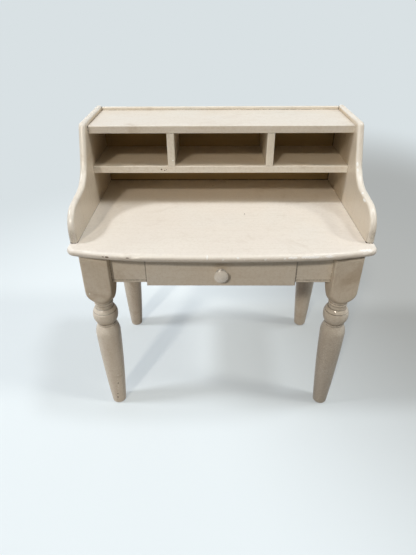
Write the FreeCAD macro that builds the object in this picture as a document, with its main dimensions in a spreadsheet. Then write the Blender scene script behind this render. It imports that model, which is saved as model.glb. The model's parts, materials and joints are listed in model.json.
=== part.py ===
import FreeCAD, Part
import math
import os

import Sketcher
from FreeCAD import Placement, Rotation, Vector

# Bow-front writing desk with a gallery hutch and one drawer, in millimetres.
# X runs to the right, Y to the back and Z up. The origin is on the floor, under the
# middle of the desk's own box. The front of the bow faces -Y.

# Driving dimensions: name, value, meaning.
SIZES = (
    ("desk_width", 995, "top, over its nosings"),
    ("desk_depth", 663, "top, from the middle of the bow to the rear edge"),
    ("top_height", 750, "upper face of the top above the floor"),
    ("top_thick", 26, "thickness of the top"),
    ("nose_flat", 1, "nosing, flat stretch between its upper and lower rounding"),
    ("bow_mid_radius", 5600, "bow, flat middle stretch"),
    ("bow_mid_half", 250, "bow, half the width of the middle stretch"),
    ("bow_end_radius", 1100, "bow, rounder end stretches"),
    ("top_corner", 30, "plan radius of the front corners"),
    ("hutch_height", 306, "hutch ends, above the top"),
    ("panel_thick", 25, "hutch ends, thickness"),
    ("panel_inset", 5, "hutch ends, in from the side of the top"),
    ("panel_length", 580, "hutch ends, from the rear edge to the nose"),
    ("panel_crest", 266, "hutch ends, straight top edge from the rear"),
    ("panel_tip", 20, "hutch ends, radius of the upper front corner"),
    ("nose_straight", 34, "hutch ends, upright edge below the nose"),
    ("nose_radius", 78, "hutch ends, radius of the nose"),
    ("arm_slope", 6, "hutch ends, rise of the arm in degrees"),
    ("arm_length", 83, "hutch ends, straight stretch of the arm"),
    ("cove_radius", 120, "hutch ends, radius of the hollow above the arm"),
    ("panel_round", 10, "hutch ends, rounding of the upper and front edges"),
    ("shelf_thick", 26, "both shelves"),
    ("shelf_depth", 258, "hutch shelves, from front edge to rear edge of the hutch"),
    ("shelf_ease", 2.5, "easing of the shelf and divider edges"),
    ("top_shelf_rise", 291, "upper face of the top shelf above the top"),
    ("middle_shelf_rise", 147, "upper face of the middle shelf above the top"),
    ("housing_depth", 8, "grooves in the hutch ends for shelves and back"),
    ("housing_room", 0.5, "glue room at the end of each groove"),
    ("divider_thick", 26, "dividers"),
    ("divider_offset", 179, "dividers, from the middle of the desk to their own middle"),
    ("back_thick", 9, "back panel"),
    ("back_gap", 2.5, "slit between the top and the back panel"),
    ("rail_depth", 13, "gallery rail, front to back"),
    ("rail_height", 12, "gallery rail, above the top shelf"),
    ("rail_round", 5, "gallery rail, rounding of its upper edges"),
    ("dowel_radius", 4, "divider dowels"),
    ("dowel_length", 32, "divider dowels"),
    ("dowel_margin", 60, "divider dowels, from the front and rear ends of a divider"),
    ("dowel_room", 0.1, "radial room round a dowel"),
    ("leg_block", 92, "square block at the head of a leg"),
    ("leg_ease", 4, "easing of the block's upright edges"),
    ("leg_side_inset", 32.5, "legs, in from the side of the top"),
    ("leg_front_inset", 60, "front legs, behind the middle of the bow"),
    ("leg_rear_inset", 4, "rear legs, in from the rear edge of the top"),
    ("foot_radius", 27, "turning: foot"),
    ("foot_round", 5, "turning: rounding under the foot"),
    ("taper_height", 366, "turning: floor to the widest point of the taper"),
    ("taper_swell", 2.6, "turning: swell of the taper outside a straight line"),
    ("taper_radius", 45.7, "turning: widest radius of the taper"),
    ("vase_rise", 44, "turning: rounded head of the taper"),
    ("quirk_radius", 33, "turning: sunk steps above and below the collar"),
    ("collar_radius", 35.5, "turning: collar under the ball"),
    ("collar_height", 8, "turning: collar under the ball"),
    ("ball_height", 67, "turning: ball"),
    ("ball_radius", 45.5, "turning: ball"),
    ("groove_rise", 18.5, "turning: cut line above the middle of the ball"),
    ("groove_half", 1.6, "turning: half width of the cut line"),
    ("groove_depth", 2.4, "turning: depth of the cut line"),
    ("neck_radius", 30.5, "turning: neck"),
    ("neck_low", 13, "turning: neck below its bead"),
    ("neck_bead", 10, "turning: height of the bead"),
    ("neck_bead_swell", 3, "turning: bead outside the neck"),
    ("neck_high", 6, "turning: neck above its bead"),
    ("shoulder_rise", 71, "turning: rounded shoulder of the block"),
    ("apron_height", 127, "all aprons"),
    ("apron_thick", 22, "all aprons"),
    ("apron_setback", 26, "aprons, behind the outer faces of the blocks"),
    ("bead_height", 9.5, "bead along the lower edge of an apron"),
    ("bead_quirk", 2, "sunk line above the bead, width and depth"),
    ("bead_round", 4, "rounding under the bead"),
    ("tenon_length", 25, "apron tenons"),
    ("tenon_thick", 10, "apron tenons"),
    ("tenon_shoulder", 14, "apron tenons, step at top and bottom"),
    ("mortise_room", 1, "glue room at the end of a mortise"),
    ("front_rail_depth", 36, "rail above the drawer, front to back"),
    ("batten_height", 18, "rail above the drawer and cleats under the top"),
    ("front_rail_lap", 14, "rail above the drawer, let into each front leg"),
    ("cleat_width", 20, "cleats under the top"),
    ("side_cleat_gap", 37.5, "cleats along the side aprons, clear of the leg blocks"),
    ("back_cleat_gap", 93, "cleat along the back apron, clear of the leg blocks"),
    ("drawer_width", 506, "drawer front"),
    ("drawer_thick", 20, "drawer front"),
    ("drawer_proud", 9, "drawer front, ahead of the aprons"),
    ("drawer_drop", 8.5, "drawer front, below the aprons"),
    ("drawer_gap", 1.5, "play round the drawer front"),
    ("drawer_round", 5, "rounding of the drawer front's face edges"),
    ("drawer_back_room", 34, "drawer box, in front of the back apron"),
    ("drawer_inset", 8, "drawer box, in from each end of the front"),
    ("drawer_headroom", 5.7, "drawer sides, below the rail above them"),
    ("drawer_side_thick", 12, "drawer sides and back"),
    ("drawer_lap", 10, "drawer sides, let into the front"),
    ("drawer_back_drop", 8, "drawer back, below the top of the sides"),
    ("bottom_thick", 6, "drawer bottom"),
    ("bottom_rise", 8, "drawer bottom, above the lower edge of the sides"),
    ("bottom_groove", 5, "drawer bottom and back, let into their neighbours"),
    ("runner_thick", 24, "runners, beside the drawer"),
    ("runner_height", 61, "runners, over all"),
    ("runner_ledge", 18, "runners, width under a drawer side"),
    ("runner_ledge_thick", 12, "runners, thickness of the ledge"),
    ("runner_rise", 2, "runners, above the lower edge of the aprons"),
    ("drawer_play", 1, "drawer sides, play against the guides"),
    ("drawer_lift", 0.3, "drawer sides, above the ledges"),
    ("stop_length", 20, "drawer stops"),
    ("stop_height", 20, "drawer stops"),
    ("stop_gap", 0.5, "drawer stops, behind the shut drawer"),
    ("knob_rise", 53, "knob, above the lower edge of the drawer front"),
    ("knob_base_radius", 18.5, "knob, collar on the drawer front"),
    ("knob_base_thick", 4, "knob, collar"),
    ("knob_neck_radius", 10.5, "knob, neck"),
    ("knob_neck_length", 15, "knob, hollow stretch between collar and head"),
    ("knob_head_radius", 24, "knob, head"),
    ("knob_rim", 6, "knob, from the neck to the widest ring"),
    ("knob_dome", 8, "knob, dome in front of the widest ring"),
    ("knob_edge", 3, "knob, rounding of the widest ring"),
    ("knob_screw_radius", 2, "knob screw, shank"),
    ("knob_screw_bite", 22, "knob screw, inside the knob"),
    ("screw_radius", 2.2, "wood screws, shank"),
    ("screw_head_radius", 4.4, "wood screws, head"),
    ("screw_head_thick", 2.6, "wood screws, head"),
    ("screw_room", 0.2, "radial room round a screw"),
    ("top_screw_bite", 15, "screws of the top, inside the top"),
    ("panel_screw_bite", 36, "screws of the hutch ends, inside the ends"),
    ("screw_margin", 45, "outer screws, from the ends of a cleat"),
    ("panel_screw_margin", 70, "outer screws, from the ends of a hutch end"),
)

doc = FreeCAD.newDocument("writing_desk")
sheet = doc.addObject("Spreadsheet::Sheet", "sizes")


class Size:
    """A dimension that carries its value and the text that ties it to the sheet."""

    def __init__(self, value, text):
        self.value = float(value)
        self.text = text

    @staticmethod
    def of(other):
        return other if isinstance(other, Size) else Size(other, repr(other))

    def __add__(self, other):
        other = Size.of(other)
        return Size(self.value + other.value, f"({self.text} + {other.text})")

    def __sub__(self, other):
        other = Size.of(other)
        return Size(self.value - other.value, f"({self.text} - {other.text})")

    def __mul__(self, other):
        other = Size.of(other)
        return Size(self.value * other.value, f"({self.text} * {other.text})")

    def __truediv__(self, other):
        other = Size.of(other)
        return Size(self.value / other.value, f"({self.text} / {other.text})")

    def __neg__(self):
        return Size(-self.value, f"(0 - {self.text})")

    def root(self):
        return Size(math.sqrt(self.value), f"sqrt({self.text})")


class Sizes:
    """Puts each driving dimension into the sheet and hands it out by name."""

    def __init__(self):
        for row, (name, value, meaning) in enumerate(SIZES, start=1):
            sheet.set(f"A{row}", meaning)
            sheet.set(f"B{row}", str(value))
            sheet.setAlias(f"B{row}", name)
            setattr(self, name, Size(value, f"sizes.{name}"))


S = Sizes()
doc.recompute()
ZERO = Size(0, "0")

# Main planes and places, worked out from the driving dimensions.
HALF_WIDTH = S.desk_width / 2
FRONT = -(S.desk_depth / 2)
REAR = S.desk_depth / 2
TOP_UNDER = S.top_height - S.top_thick
PANEL_OUTER = HALF_WIDTH - S.panel_inset
PANEL_INNER = PANEL_OUTER - S.panel_thick
PANEL_MIDDLE = PANEL_OUTER - S.panel_thick / 2
SHELF_FRONT = REAR - S.shelf_depth
BACK_FACE = REAR - S.back_thick
SHELF_HALF = PANEL_INNER + S.housing_depth - S.housing_room
TOP_SHELF = S.top_height + S.top_shelf_rise
MIDDLE_SHELF = S.top_height + S.middle_shelf_rise
HALF_BLOCK = S.leg_block / 2
LEG_X = HALF_WIDTH - S.leg_side_inset - HALF_BLOCK
LEG_FRONT_Y = FRONT + S.leg_front_inset + HALF_BLOCK
LEG_REAR_Y = REAR - S.leg_rear_inset - HALF_BLOCK
BLOCK_INNER = LEG_X - HALF_BLOCK
APRON_LOW = TOP_UNDER - S.apron_height
APRON_FACE = LEG_FRONT_Y - HALF_BLOCK + S.apron_setback
APRON_BEHIND = APRON_FACE + S.apron_thick
SIDE_APRON_FACE = LEG_X + HALF_BLOCK - S.apron_setback
SIDE_APRON_INSIDE = SIDE_APRON_FACE - S.apron_thick
BACK_APRON_FACE = LEG_REAR_Y + HALF_BLOCK - S.apron_setback
BACK_APRON_INSIDE = BACK_APRON_FACE - S.apron_thick
BATTEN_LOW = TOP_UNDER - S.batten_height
OPENING_HALF = S.drawer_width / 2 + S.drawer_gap
DRAWER_FACE = APRON_FACE - S.drawer_proud
DRAWER_BEHIND = DRAWER_FACE + S.drawer_thick
DRAWER_LOW = APRON_LOW - S.drawer_drop
DRAWER_FRONT_HEIGHT = TOP_UNDER - S.drawer_gap - DRAWER_LOW
DRAWER_HALF = S.drawer_width / 2 - S.drawer_inset
DRAWER_INSIDE = DRAWER_HALF - S.drawer_side_thick
DRAWER_END = BACK_APRON_INSIDE - S.drawer_back_room
RUNNER_LOW = APRON_LOW + S.runner_rise
LEDGE = RUNNER_LOW + S.runner_ledge_thick
SIDE_LOW = LEDGE + S.drawer_lift
SIDE_TOP = BATTEN_LOW - S.drawer_headroom
BOTTOM_LOW = SIDE_LOW + S.bottom_rise
GUIDE = DRAWER_HALF + S.drawer_play
KNOB_Z = DRAWER_LOW + S.knob_rise
SIDES = {"left": -1, "right": 1}


def bind(thing, **properties):
    """Tie properties of an object to sizes; a double underscore stands for a dot."""
    for name, size in properties.items():
        thing.setExpression(name.replace("__", "."), Size.of(size).text)


def place(thing, x, y, z, angle=0):
    """Put an object at sizes x, y, z, turned about the upright axis by some degrees."""
    thing.Placement = Placement(Vector(0, 0, 0), Rotation(Vector(0, 0, 1), angle))
    bind(thing, Placement__Base__x=x, Placement__Base__y=y, Placement__Base__z=z)


# Sketches

def sketch_on(body, role, name, lift=None):
    """Start a sketch on one of a body's own planes, lifted along the plane's normal."""
    plane = next(item for item in body.Origin.OriginFeatures if item.Role == role)
    sketch = body.newObject("Sketcher::SketchObject", name)
    sketch.AttachmentSupport = [(plane, "")]
    sketch.MapMode = "FlatFace"
    if lift is not None:
        bind(sketch, AttachmentOffset__Base__z=lift)
    return sketch


def tie(sketch, kind, *references, size):
    """Add a dimension to a sketch and tie it to a size."""
    index = sketch.addConstraint(Sketcher.Constraint(kind, *references, size.value))
    sketch.setExpression(f"Constraints[{index}]", size.text)


def pin(sketch, geometry, end, x, y):
    """Fix one end of a line or arc at sizes x, y of the sketch."""
    for kind, axis, size in (("DistanceX", -2, Size.of(x)), ("DistanceY", -1, Size.of(y))):
        if size.value == 0:
            sketch.addConstraint(Sketcher.Constraint("PointOnObject", geometry, end, axis))
        elif size.value > 0:
            tie(sketch, kind, -1, 1, geometry, end, size=size)
        else:
            tie(sketch, kind, geometry, end, -1, 1, size=-size)


def add_line(sketch, a, b):
    return sketch.addGeometry(Part.LineSegment(Vector(*a, 0), Vector(*b, 0)), False)


def add_arc(sketch, centre, radius, start, end):
    """Add an arc that runs anticlockwise from angle start to angle end, in radians."""
    circle = Part.Circle(Vector(*centre, 0), Vector(0, 0, 1), radius)
    return sketch.addGeometry(Part.ArcOfCircle(circle, start, end), False)


def bulge_arc(sketch, a, b, radius):
    """Add the short arc from a to b that swells to the right of the way from a to b."""
    middle = ((a[0] + b[0]) / 2, (a[1] + b[1]) / 2)
    chord = math.dist(a, b)
    rise = math.sqrt(max(radius * radius - chord * chord / 4, 0))
    across = (-(b[1] - a[1]) / chord, (b[0] - a[0]) / chord)
    centre = (middle[0] + across[0] * rise, middle[1] + across[1] * rise)
    start = math.atan2(a[1] - centre[1], a[0] - centre[0])
    end = math.atan2(b[1] - centre[1], b[0] - centre[0])
    return add_arc(sketch, centre, radius, start, end)


def draw_outline(sketch, corners, rounds=(), hollows=()):
    """Draw a closed outline through corners; some of its sides may have a radius.

    A side in rounds is an arc that swells to the right of the way round, and a side in
    hollows is an arc that sinks to the left of it.
    """
    rounds, hollows = dict(rounds), dict(hollows)
    sides = []
    for index, corner in enumerate(corners):
        follower = corners[(index + 1) % len(corners)]
        a = (Size.of(corner[0]).value, Size.of(corner[1]).value)
        b = (Size.of(follower[0]).value, Size.of(follower[1]).value)
        if index in rounds:
            sides.append((bulge_arc(sketch, a, b, rounds[index].value), 1, 2))
        elif index in hollows:
            sides.append((bulge_arc(sketch, b, a, hollows[index].value), 2, 1))
        else:
            sides.append((add_line(sketch, a, b), 1, 2))
    for index, (side, start, end) in enumerate(sides):
        follower, begin, _ = sides[(index + 1) % len(sides)]
        sketch.addConstraint(Sketcher.Constraint("Coincident", side, end, follower, begin))
        pin(sketch, side, start, *corners[index])
        if index in rounds or index in hollows:
            tie(sketch, "Radius", side, size=rounds.get(index) or hollows[index])


def draw_rectangle(sketch, x_low, y_low, x_high, y_high):
    draw_outline(sketch, [(x_low, y_low), (x_high, y_low), (x_high, y_high), (x_low, y_high)])


def draw_circles(sketch, centres, radius):
    for x, y in centres:
        middle = Vector(Size.of(x).value, Size.of(y).value, 0)
        circle = sketch.addGeometry(Part.Circle(middle, Vector(0, 0, 1), radius.value), False)
        pin(sketch, circle, 3, x, y)
        tie(sketch, "Radius", circle, size=radius)


# Features

def new_body(name):
    body = doc.addObject("PartDesign::Body", name)
    body.Label = name
    return body


def pad(body, sketch, length, back=False):
    """Add material from a sketch along its normal, or the other way where back is set."""
    feature = body.newObject("PartDesign::Pad", sketch.Name + "_pad")
    feature.Profile = sketch
    feature.Reversed = back
    bind(feature, Length=length)
    doc.recompute()
    return feature


def pocket(body, sketch, length, back=False):
    """Cut material from a sketch against its normal, or the other way where back is set."""
    before = body.Shape.Volume
    feature = body.newObject("PartDesign::Pocket", sketch.Name + "_cut")
    feature.Profile = sketch
    feature.Reversed = back
    bind(feature, Length=length)
    doc.recompute()
    if not body.Shape.Volume < before:
        raise ValueError(f"{feature.Name} cut nothing")
    return feature


def turn(body, sketch):
    """Turn a profile about the upright axis of its sketch."""
    feature = body.newObject("PartDesign::Revolution", sketch.Name + "_turned")
    feature.Profile = sketch
    feature.ReferenceAxis = (sketch, ["V_Axis"])
    feature.Angle = 360
    doc.recompute()
    return feature


def edge_names(shape, wanted):
    """Names of the edges whose box answers a test."""
    return [f"Edge{i}" for i, edge in enumerate(shape.Edges, start=1) if wanted(edge.BoundBox)]


def round_edges(body, radius, wanted):
    """Round those edges of a body's last feature whose box answers a test."""
    base = body.Tip
    feature = body.newObject("PartDesign::Fillet", body.Name + "_round")
    feature.Base = (base, edge_names(base.Shape, wanted))
    bind(feature, Radius=radius)
    doc.recompute()
    return feature


def near(a, b):
    return abs(a - Size.of(b).value) < 1e-4


# Boards, rods and cuts

def box(name, x, y, z):
    """A board between pairs of sizes, low and high, along each axis."""
    board = doc.addObject("Part::Box", name)
    board.Label = name
    bind(board, Length=x[1] - x[0], Width=y[1] - y[0], Height=z[1] - z[0])
    place(board, x[0], y[0], z[0])
    return board


def rod(name, x, y, z, radius, length):
    """An upright rod that stands on a point."""
    cylinder = doc.addObject("Part::Cylinder", name)
    bind(cylinder, Radius=radius, Height=length)
    place(cylinder, x, y, z)
    return cylinder


def group(name, things):
    together = doc.addObject("Part::Compound", name)
    together.Label = name
    together.Links = things
    return together


def cut(name, base, tools):
    """Cut tools out of a board; the result takes the board's place under a new name."""
    result = doc.addObject("Part::Cut", name)
    result.Label = name
    result.Base = base
    result.Tool = tools[0] if len(tools) == 1 else group(name + "_tools", tools)
    doc.recompute()
    if not result.Shape.Volume < base.Shape.Volume:
        raise ValueError(f"{name} was not cut")
    return result


def ease(name, base, radius, wanted):
    """Round those edges of a board whose box answers a test."""
    doc.recompute()
    result = doc.addObject("Part::Fillet", name)
    result.Label = name
    result.Base = base
    numbers = [int(edge[4:]) for edge in edge_names(base.Shape, wanted)]
    result.Edges = [(number, radius.value, radius.value) for number in numbers]
    doc.recompute()
    return result


# The top

def three_along(low, high, margin):
    """Three places along a stretch: near its ends and in its middle."""
    return (low + margin, (low + high) / 2, high - margin)


PANEL_SCREW_ROWS = three_along(REAR - S.panel_length, REAR, S.panel_screw_margin)
CLEAT_CLEAR = HALF_BLOCK + S.side_cleat_gap
SIDE_CLEAT = (LEG_FRONT_Y + CLEAT_CLEAR, LEG_REAR_Y - CLEAT_CLEAR)
SIDE_CLEAT_X = SIDE_APRON_INSIDE - S.cleat_width / 2
BACK_CLEAT = (S.back_cleat_gap - BLOCK_INNER, BLOCK_INNER - S.back_cleat_gap)
BACK_CLEAT_Y = BACK_APRON_INSIDE - S.cleat_width / 2
FRONT_RAIL_Y = APRON_BEHIND + S.front_rail_depth / 2


def top_screw_places():
    """Where screws pass up into the top, by the batten that they hold."""
    sides = three_along(*SIDE_CLEAT, S.screw_margin)
    rows = three_along(*BACK_CLEAT, S.screw_margin)
    return {
        "top_cleat_left": [(-SIDE_CLEAT_X, y) for y in sides],
        "top_cleat_right": [(SIDE_CLEAT_X, y) for y in sides],
        "top_cleat_back": [(x, BACK_CLEAT_Y) for x in rows],
        "front_rail": [(x, FRONT_RAIL_Y) for x in rows],
    }


def panel_screw_places():
    return [(PANEL_MIDDLE * side, y) for side in (-1, 1) for y in PANEL_SCREW_ROWS]


TOP_SCREWS = top_screw_places()
SCREW_HOLE = S.screw_radius + S.screw_room


def bow_points():
    """Centres and tangent points of the right half of the bow, as plain numbers."""
    mid, end, corner = S.bow_mid_radius.value, S.bow_end_radius.value, S.top_corner.value
    lean = math.asin(S.bow_mid_half.value / mid)
    mid_centre = Vector(0, FRONT.value + mid, 0)
    end_centre = mid_centre + Vector(math.sin(lean), -math.cos(lean), 0) * (mid - end)
    corner_x = HALF_WIDTH.value - corner
    drop = math.sqrt((end - corner) ** 2 - (corner_x - end_centre.x) ** 2)
    corner_centre = Vector(corner_x, end_centre.y - drop, 0)
    turn_angle = math.atan2(corner_centre.y - end_centre.y, corner_centre.x - end_centre.x)
    return mid_centre, end_centre, corner_centre, lean, turn_angle


def draw_top_outline(sketch):
    """Plan of the top: straight rear and sides, three-centred bow, rounded front corners."""
    mid_centre, end_centre, corner_centre, lean, turn_angle = bow_points()
    half, rear = HALF_WIDTH.value, REAR.value
    down = -math.pi / 2
    right = add_line(sketch, (half, corner_centre.y), (half, rear))
    back = add_line(sketch, (half, rear), (-half, rear))
    left = add_line(sketch, (-half, rear), (-half, corner_centre.y))
    arcs = (
        ((-corner_centre.x, corner_centre.y), S.top_corner, math.pi, 2 * down - turn_angle + 2 * math.pi),
        ((-end_centre.x, end_centre.y), S.bow_end_radius, 2 * down - turn_angle, down - lean),
        ((0, mid_centre.y), S.bow_mid_radius, down - lean, down + lean),
        ((end_centre.x, end_centre.y), S.bow_end_radius, down + lean, turn_angle),
        ((corner_centre.x, corner_centre.y), S.top_corner, turn_angle, 0),
    )
    chain = [left]
    for centre, radius, start, end in arcs:
        chain.append(add_arc(sketch, centre, radius.value, start, end))
    chain.append(right)
    for first, second in zip(chain, chain[1:]):
        sketch.addConstraint(Sketcher.Constraint("Tangent", first, 2, second, 1))
    sketch.addConstraint(Sketcher.Constraint("Coincident", right, 2, back, 1))
    sketch.addConstraint(Sketcher.Constraint("Coincident", back, 2, left, 1))
    sketch.addConstraint(Sketcher.Constraint("Vertical", left))
    sketch.addConstraint(Sketcher.Constraint("Vertical", right))
    pin(sketch, right, 2, HALF_WIDTH, REAR)
    pin(sketch, left, 1, -HALF_WIDTH, REAR)
    middle = chain[3]
    sketch.addConstraint(Sketcher.Constraint("PointOnObject", middle, 3, -2))
    tie(sketch, "DistanceY", -1, 1, middle, 3, size=FRONT + S.bow_mid_radius)
    sketch.addConstraint(Sketcher.Constraint("Horizontal", middle, 1, middle, 2))
    tie(sketch, "DistanceX", middle, 1, middle, 2, size=S.bow_mid_half * 2)
    for arc, (_, radius, _, _) in zip(chain[1:-1], arcs):
        tie(sketch, "Radius", arc, size=radius)


def make_desktop():
    """The top: a bow-front board with a nosing round its front and sides."""
    body = new_body("desktop")
    outline = sketch_on(body, "XY_Plane", "desktop_plan")
    draw_top_outline(outline)
    pad(body, outline, S.top_thick)
    round_edges(body, (S.top_thick - S.nose_flat) / 2, lambda b: b.ZLength < 1e-6 and b.YMin < REAR.value - 1)
    holes = sketch_on(body, "XY_Plane", "desktop_panel_holes")
    draw_circles(holes, panel_screw_places(), SCREW_HOLE)
    pocket(body, holes, S.top_thick, back=True)
    blind = sketch_on(body, "XY_Plane", "desktop_screw_holes")
    draw_circles(blind, [spot for spots in TOP_SCREWS.values() for spot in spots], SCREW_HOLE)
    pocket(body, blind, S.top_screw_bite + S.screw_room, back=True)
    place(body, ZERO, ZERO, TOP_UNDER)
    return body


# The hutch

def panel_points():
    """Profile of a hutch end as plain numbers, with its rear lower corner at 0, 0."""
    nose, cove, tip = S.nose_radius.value, S.cove_radius.value, S.panel_tip.value
    slope = math.radians(S.arm_slope.value)
    along = Vector(math.cos(slope), math.sin(slope), 0)
    normal = Vector(-math.sin(slope), math.cos(slope), 0)
    nose_centre = Vector(nose - S.panel_length.value, S.nose_straight.value, 0)
    arm_front = nose_centre + normal * nose
    arm_rear = arm_front + along * S.arm_length.value
    cove_centre = arm_rear + normal * cove
    tip_centre = Vector(-S.panel_crest.value, S.hutch_height.value - tip, 0)
    # The front of the upper part is the inner common tangent of the hollow and the tip.
    gap = tip_centre - cove_centre
    lean = math.atan2(gap.y, gap.x) + math.asin((cove + tip) / gap.Length)
    across = Vector(math.sin(lean), -math.cos(lean), 0)
    return {
        "nose": nose_centre, "arm_front": arm_front, "arm_rear": arm_rear, "cove": cove_centre,
        "slant_low": cove_centre + across * cove, "slant_high": tip_centre - across * tip,
        "tip": tip_centre, "slope": slope, "lean": lean,
    }


def draw_panel_outline(sketch):
    """Side view of a hutch end: nose, arm, hollow, slanted front and level crest."""
    at = panel_points()
    length, height = S.panel_length.value, S.hutch_height.value
    straight, crest = S.nose_straight.value, S.panel_crest.value
    quarter = math.pi / 2

    def flat(point):
        return (point.x, point.y)

    rear = add_line(sketch, (0, height), (0, 0))
    foot = add_line(sketch, (0, 0), (-length, 0))
    front = add_line(sketch, (-length, 0), (-length, straight))
    nose = add_arc(sketch, flat(at["nose"]), S.nose_radius.value, quarter + at["slope"], math.pi)
    arm = add_line(sketch, flat(at["arm_front"]), flat(at["arm_rear"]))
    cove = add_arc(sketch, flat(at["cove"]), S.cove_radius.value,
                   at["slope"] - quarter, at["lean"] - quarter)
    slant = add_line(sketch, flat(at["slant_low"]), flat(at["slant_high"]))
    tip = add_arc(sketch, flat(at["tip"]), S.panel_tip.value, quarter, at["lean"] + quarter)
    top = add_line(sketch, (-crest, height), (0, height))
    for first, end, second, start in ((front, 2, nose, 2), (nose, 1, arm, 1), (arm, 2, cove, 1),
                                      (cove, 2, slant, 1), (slant, 2, tip, 2), (tip, 1, top, 1)):
        sketch.addConstraint(Sketcher.Constraint("Tangent", first, end, second, start))
    for first, second in ((top, rear), (rear, foot), (foot, front)):
        sketch.addConstraint(Sketcher.Constraint("Coincident", first, 2, second, 1))
    sketch.addConstraint(Sketcher.Constraint("Coincident", rear, 2, -1, 1))
    for upright in (rear, front):
        sketch.addConstraint(Sketcher.Constraint("Vertical", upright))
    for level in (foot, top):
        sketch.addConstraint(Sketcher.Constraint("Horizontal", level))
    tie(sketch, "DistanceY", rear, 2, rear, 1, size=S.hutch_height)
    tie(sketch, "DistanceX", foot, 2, foot, 1, size=S.panel_length)
    tie(sketch, "DistanceY", front, 1, front, 2, size=S.nose_straight)
    tie(sketch, "DistanceX", top, 1, top, 2, size=S.panel_crest)
    tie(sketch, "Distance", arm, 1, arm, 2, size=S.arm_length)
    tie(sketch, "Radius", nose, size=S.nose_radius)
    tie(sketch, "Radius", cove, size=S.cove_radius)
    tie(sketch, "Radius", tip, size=S.panel_tip)
    index = sketch.addConstraint(Sketcher.Constraint("Angle", arm, at["slope"]))
    sketch.setExpression(f"Constraints[{index}]", f"{S.arm_slope.text} * 1 deg")


def housing_corners():
    """One groove outline for both shelves and the back, from the rear lower corner."""
    front, panel = -S.shelf_depth, -S.back_thick
    corners = [(panel, ZERO), (ZERO, ZERO), (ZERO, S.top_shelf_rise), (front, S.top_shelf_rise)]
    corners += [(front, S.top_shelf_rise - S.shelf_thick), (panel, S.top_shelf_rise - S.shelf_thick)]
    corners += [(panel, S.middle_shelf_rise), (front, S.middle_shelf_rise)]
    corners += [(front, S.middle_shelf_rise - S.shelf_thick), (panel, S.middle_shelf_rise - S.shelf_thick)]
    return corners


def make_side_panel(side, sign):
    """A hutch end: S-curved board, rounded in front and above, grooved on its inner face."""
    name = f"side_panel_{side}"
    body = new_body(name)
    outline = sketch_on(body, "YZ_Plane", name + "_profile")
    draw_panel_outline(outline)
    pad(body, outline, S.panel_thick)
    round_edges(body, S.panel_round,
                lambda b: b.XLength < 1e-6 and not near(b.ZMax, ZERO) and b.YMin < -1)
    inner = S.panel_thick if sign < 0 else ZERO
    housing = sketch_on(body, "YZ_Plane", name + "_housing", lift=inner)
    draw_outline(housing, housing_corners())
    pocket(body, housing, S.housing_depth, back=sign > 0)
    holes = sketch_on(body, "XY_Plane", name + "_holes")
    draw_circles(holes, [(S.panel_thick / 2, row - REAR) for row in PANEL_SCREW_ROWS], SCREW_HOLE)
    pocket(body, holes, S.panel_screw_bite + S.screw_room, back=True)
    place(body, -PANEL_OUTER if sign < 0 else PANEL_INNER, REAR, S.top_height)
    return body


DIVIDER_LOW = MIDDLE_SHELF
DIVIDER_HIGH = TOP_SHELF - S.shelf_thick
DOWEL_ROWS = (SHELF_FRONT + S.dowel_margin, BACK_FACE - S.dowel_margin)


def dowel_rods(name, level, xs, radius):
    """Upright dowels, or the holes for them, half above and half below a level."""
    low = level - S.dowel_length / 2
    spots = [(x, y) for x in xs for y in DOWEL_ROWS]
    return [rod(f"{name}_{i}", x, y, low, radius, S.dowel_length) for i, (x, y) in enumerate(spots)]


DIVIDER_XS = (-S.divider_offset, S.divider_offset)
DOWEL_HOLE = S.dowel_radius + S.dowel_room


def make_shelf(name, level, rear, joint):
    """A hutch shelf in the grooves of both ends, drilled for the dowels of the dividers."""
    x = (-SHELF_HALF, SHELF_HALF)
    blank = box(name + "_board", x, (SHELF_FRONT, rear), (level - S.shelf_thick, level))
    eased = ease(name + "_eased", blank, S.shelf_ease,
                 lambda b: near(b.YMax, SHELF_FRONT) and b.XLength > 1)
    return cut(name, eased, dowel_rods(name + "_hole", joint, DIVIDER_XS, DOWEL_HOLE))


def make_divider(side, sign):
    """An upright between the shelves, eased along its front edges."""
    name = f"divider_{side}"
    middle = S.divider_offset * sign
    x = (middle - S.divider_thick / 2, middle + S.divider_thick / 2)
    blank = box(name + "_board", x, (SHELF_FRONT, BACK_FACE), (DIVIDER_LOW, DIVIDER_HIGH))
    eased = ease(name + "_eased", blank, S.shelf_ease,
                 lambda b: near(b.YMax, SHELF_FRONT) and b.ZLength > 1)
    holes = []
    for end, level in (("low", DIVIDER_LOW), ("high", DIVIDER_HIGH)):
        holes += dowel_rods(f"{name}_hole_{end}", level, (middle,), DOWEL_HOLE)
    return cut(name, eased, holes)


def make_divider_dowels():
    dowels = []
    for end, level in (("low", DIVIDER_LOW), ("high", DIVIDER_HIGH)):
        dowels += dowel_rods(f"dowel_{end}", level, DIVIDER_XS, S.dowel_radius)
    return group("divider_dowels", dowels)


def make_back_panel():
    x = (-SHELF_HALF, SHELF_HALF)
    z = (S.top_height + S.back_gap, DIVIDER_HIGH)
    return box("back_panel", x, (BACK_FACE, REAR), z)


def make_gallery_rail():
    """A low strip on the rear of the top shelf, rounded above."""
    x = (-PANEL_INNER, PANEL_INNER)
    z = (TOP_SHELF, TOP_SHELF + S.rail_height)
    blank = box("gallery_rail_strip", x, (REAR - S.rail_depth, REAR), z)
    return ease("gallery_rail", blank, S.rail_round,
                lambda b: near(b.ZMin, z[1]) and b.XLength > 1)


# The legs

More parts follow.
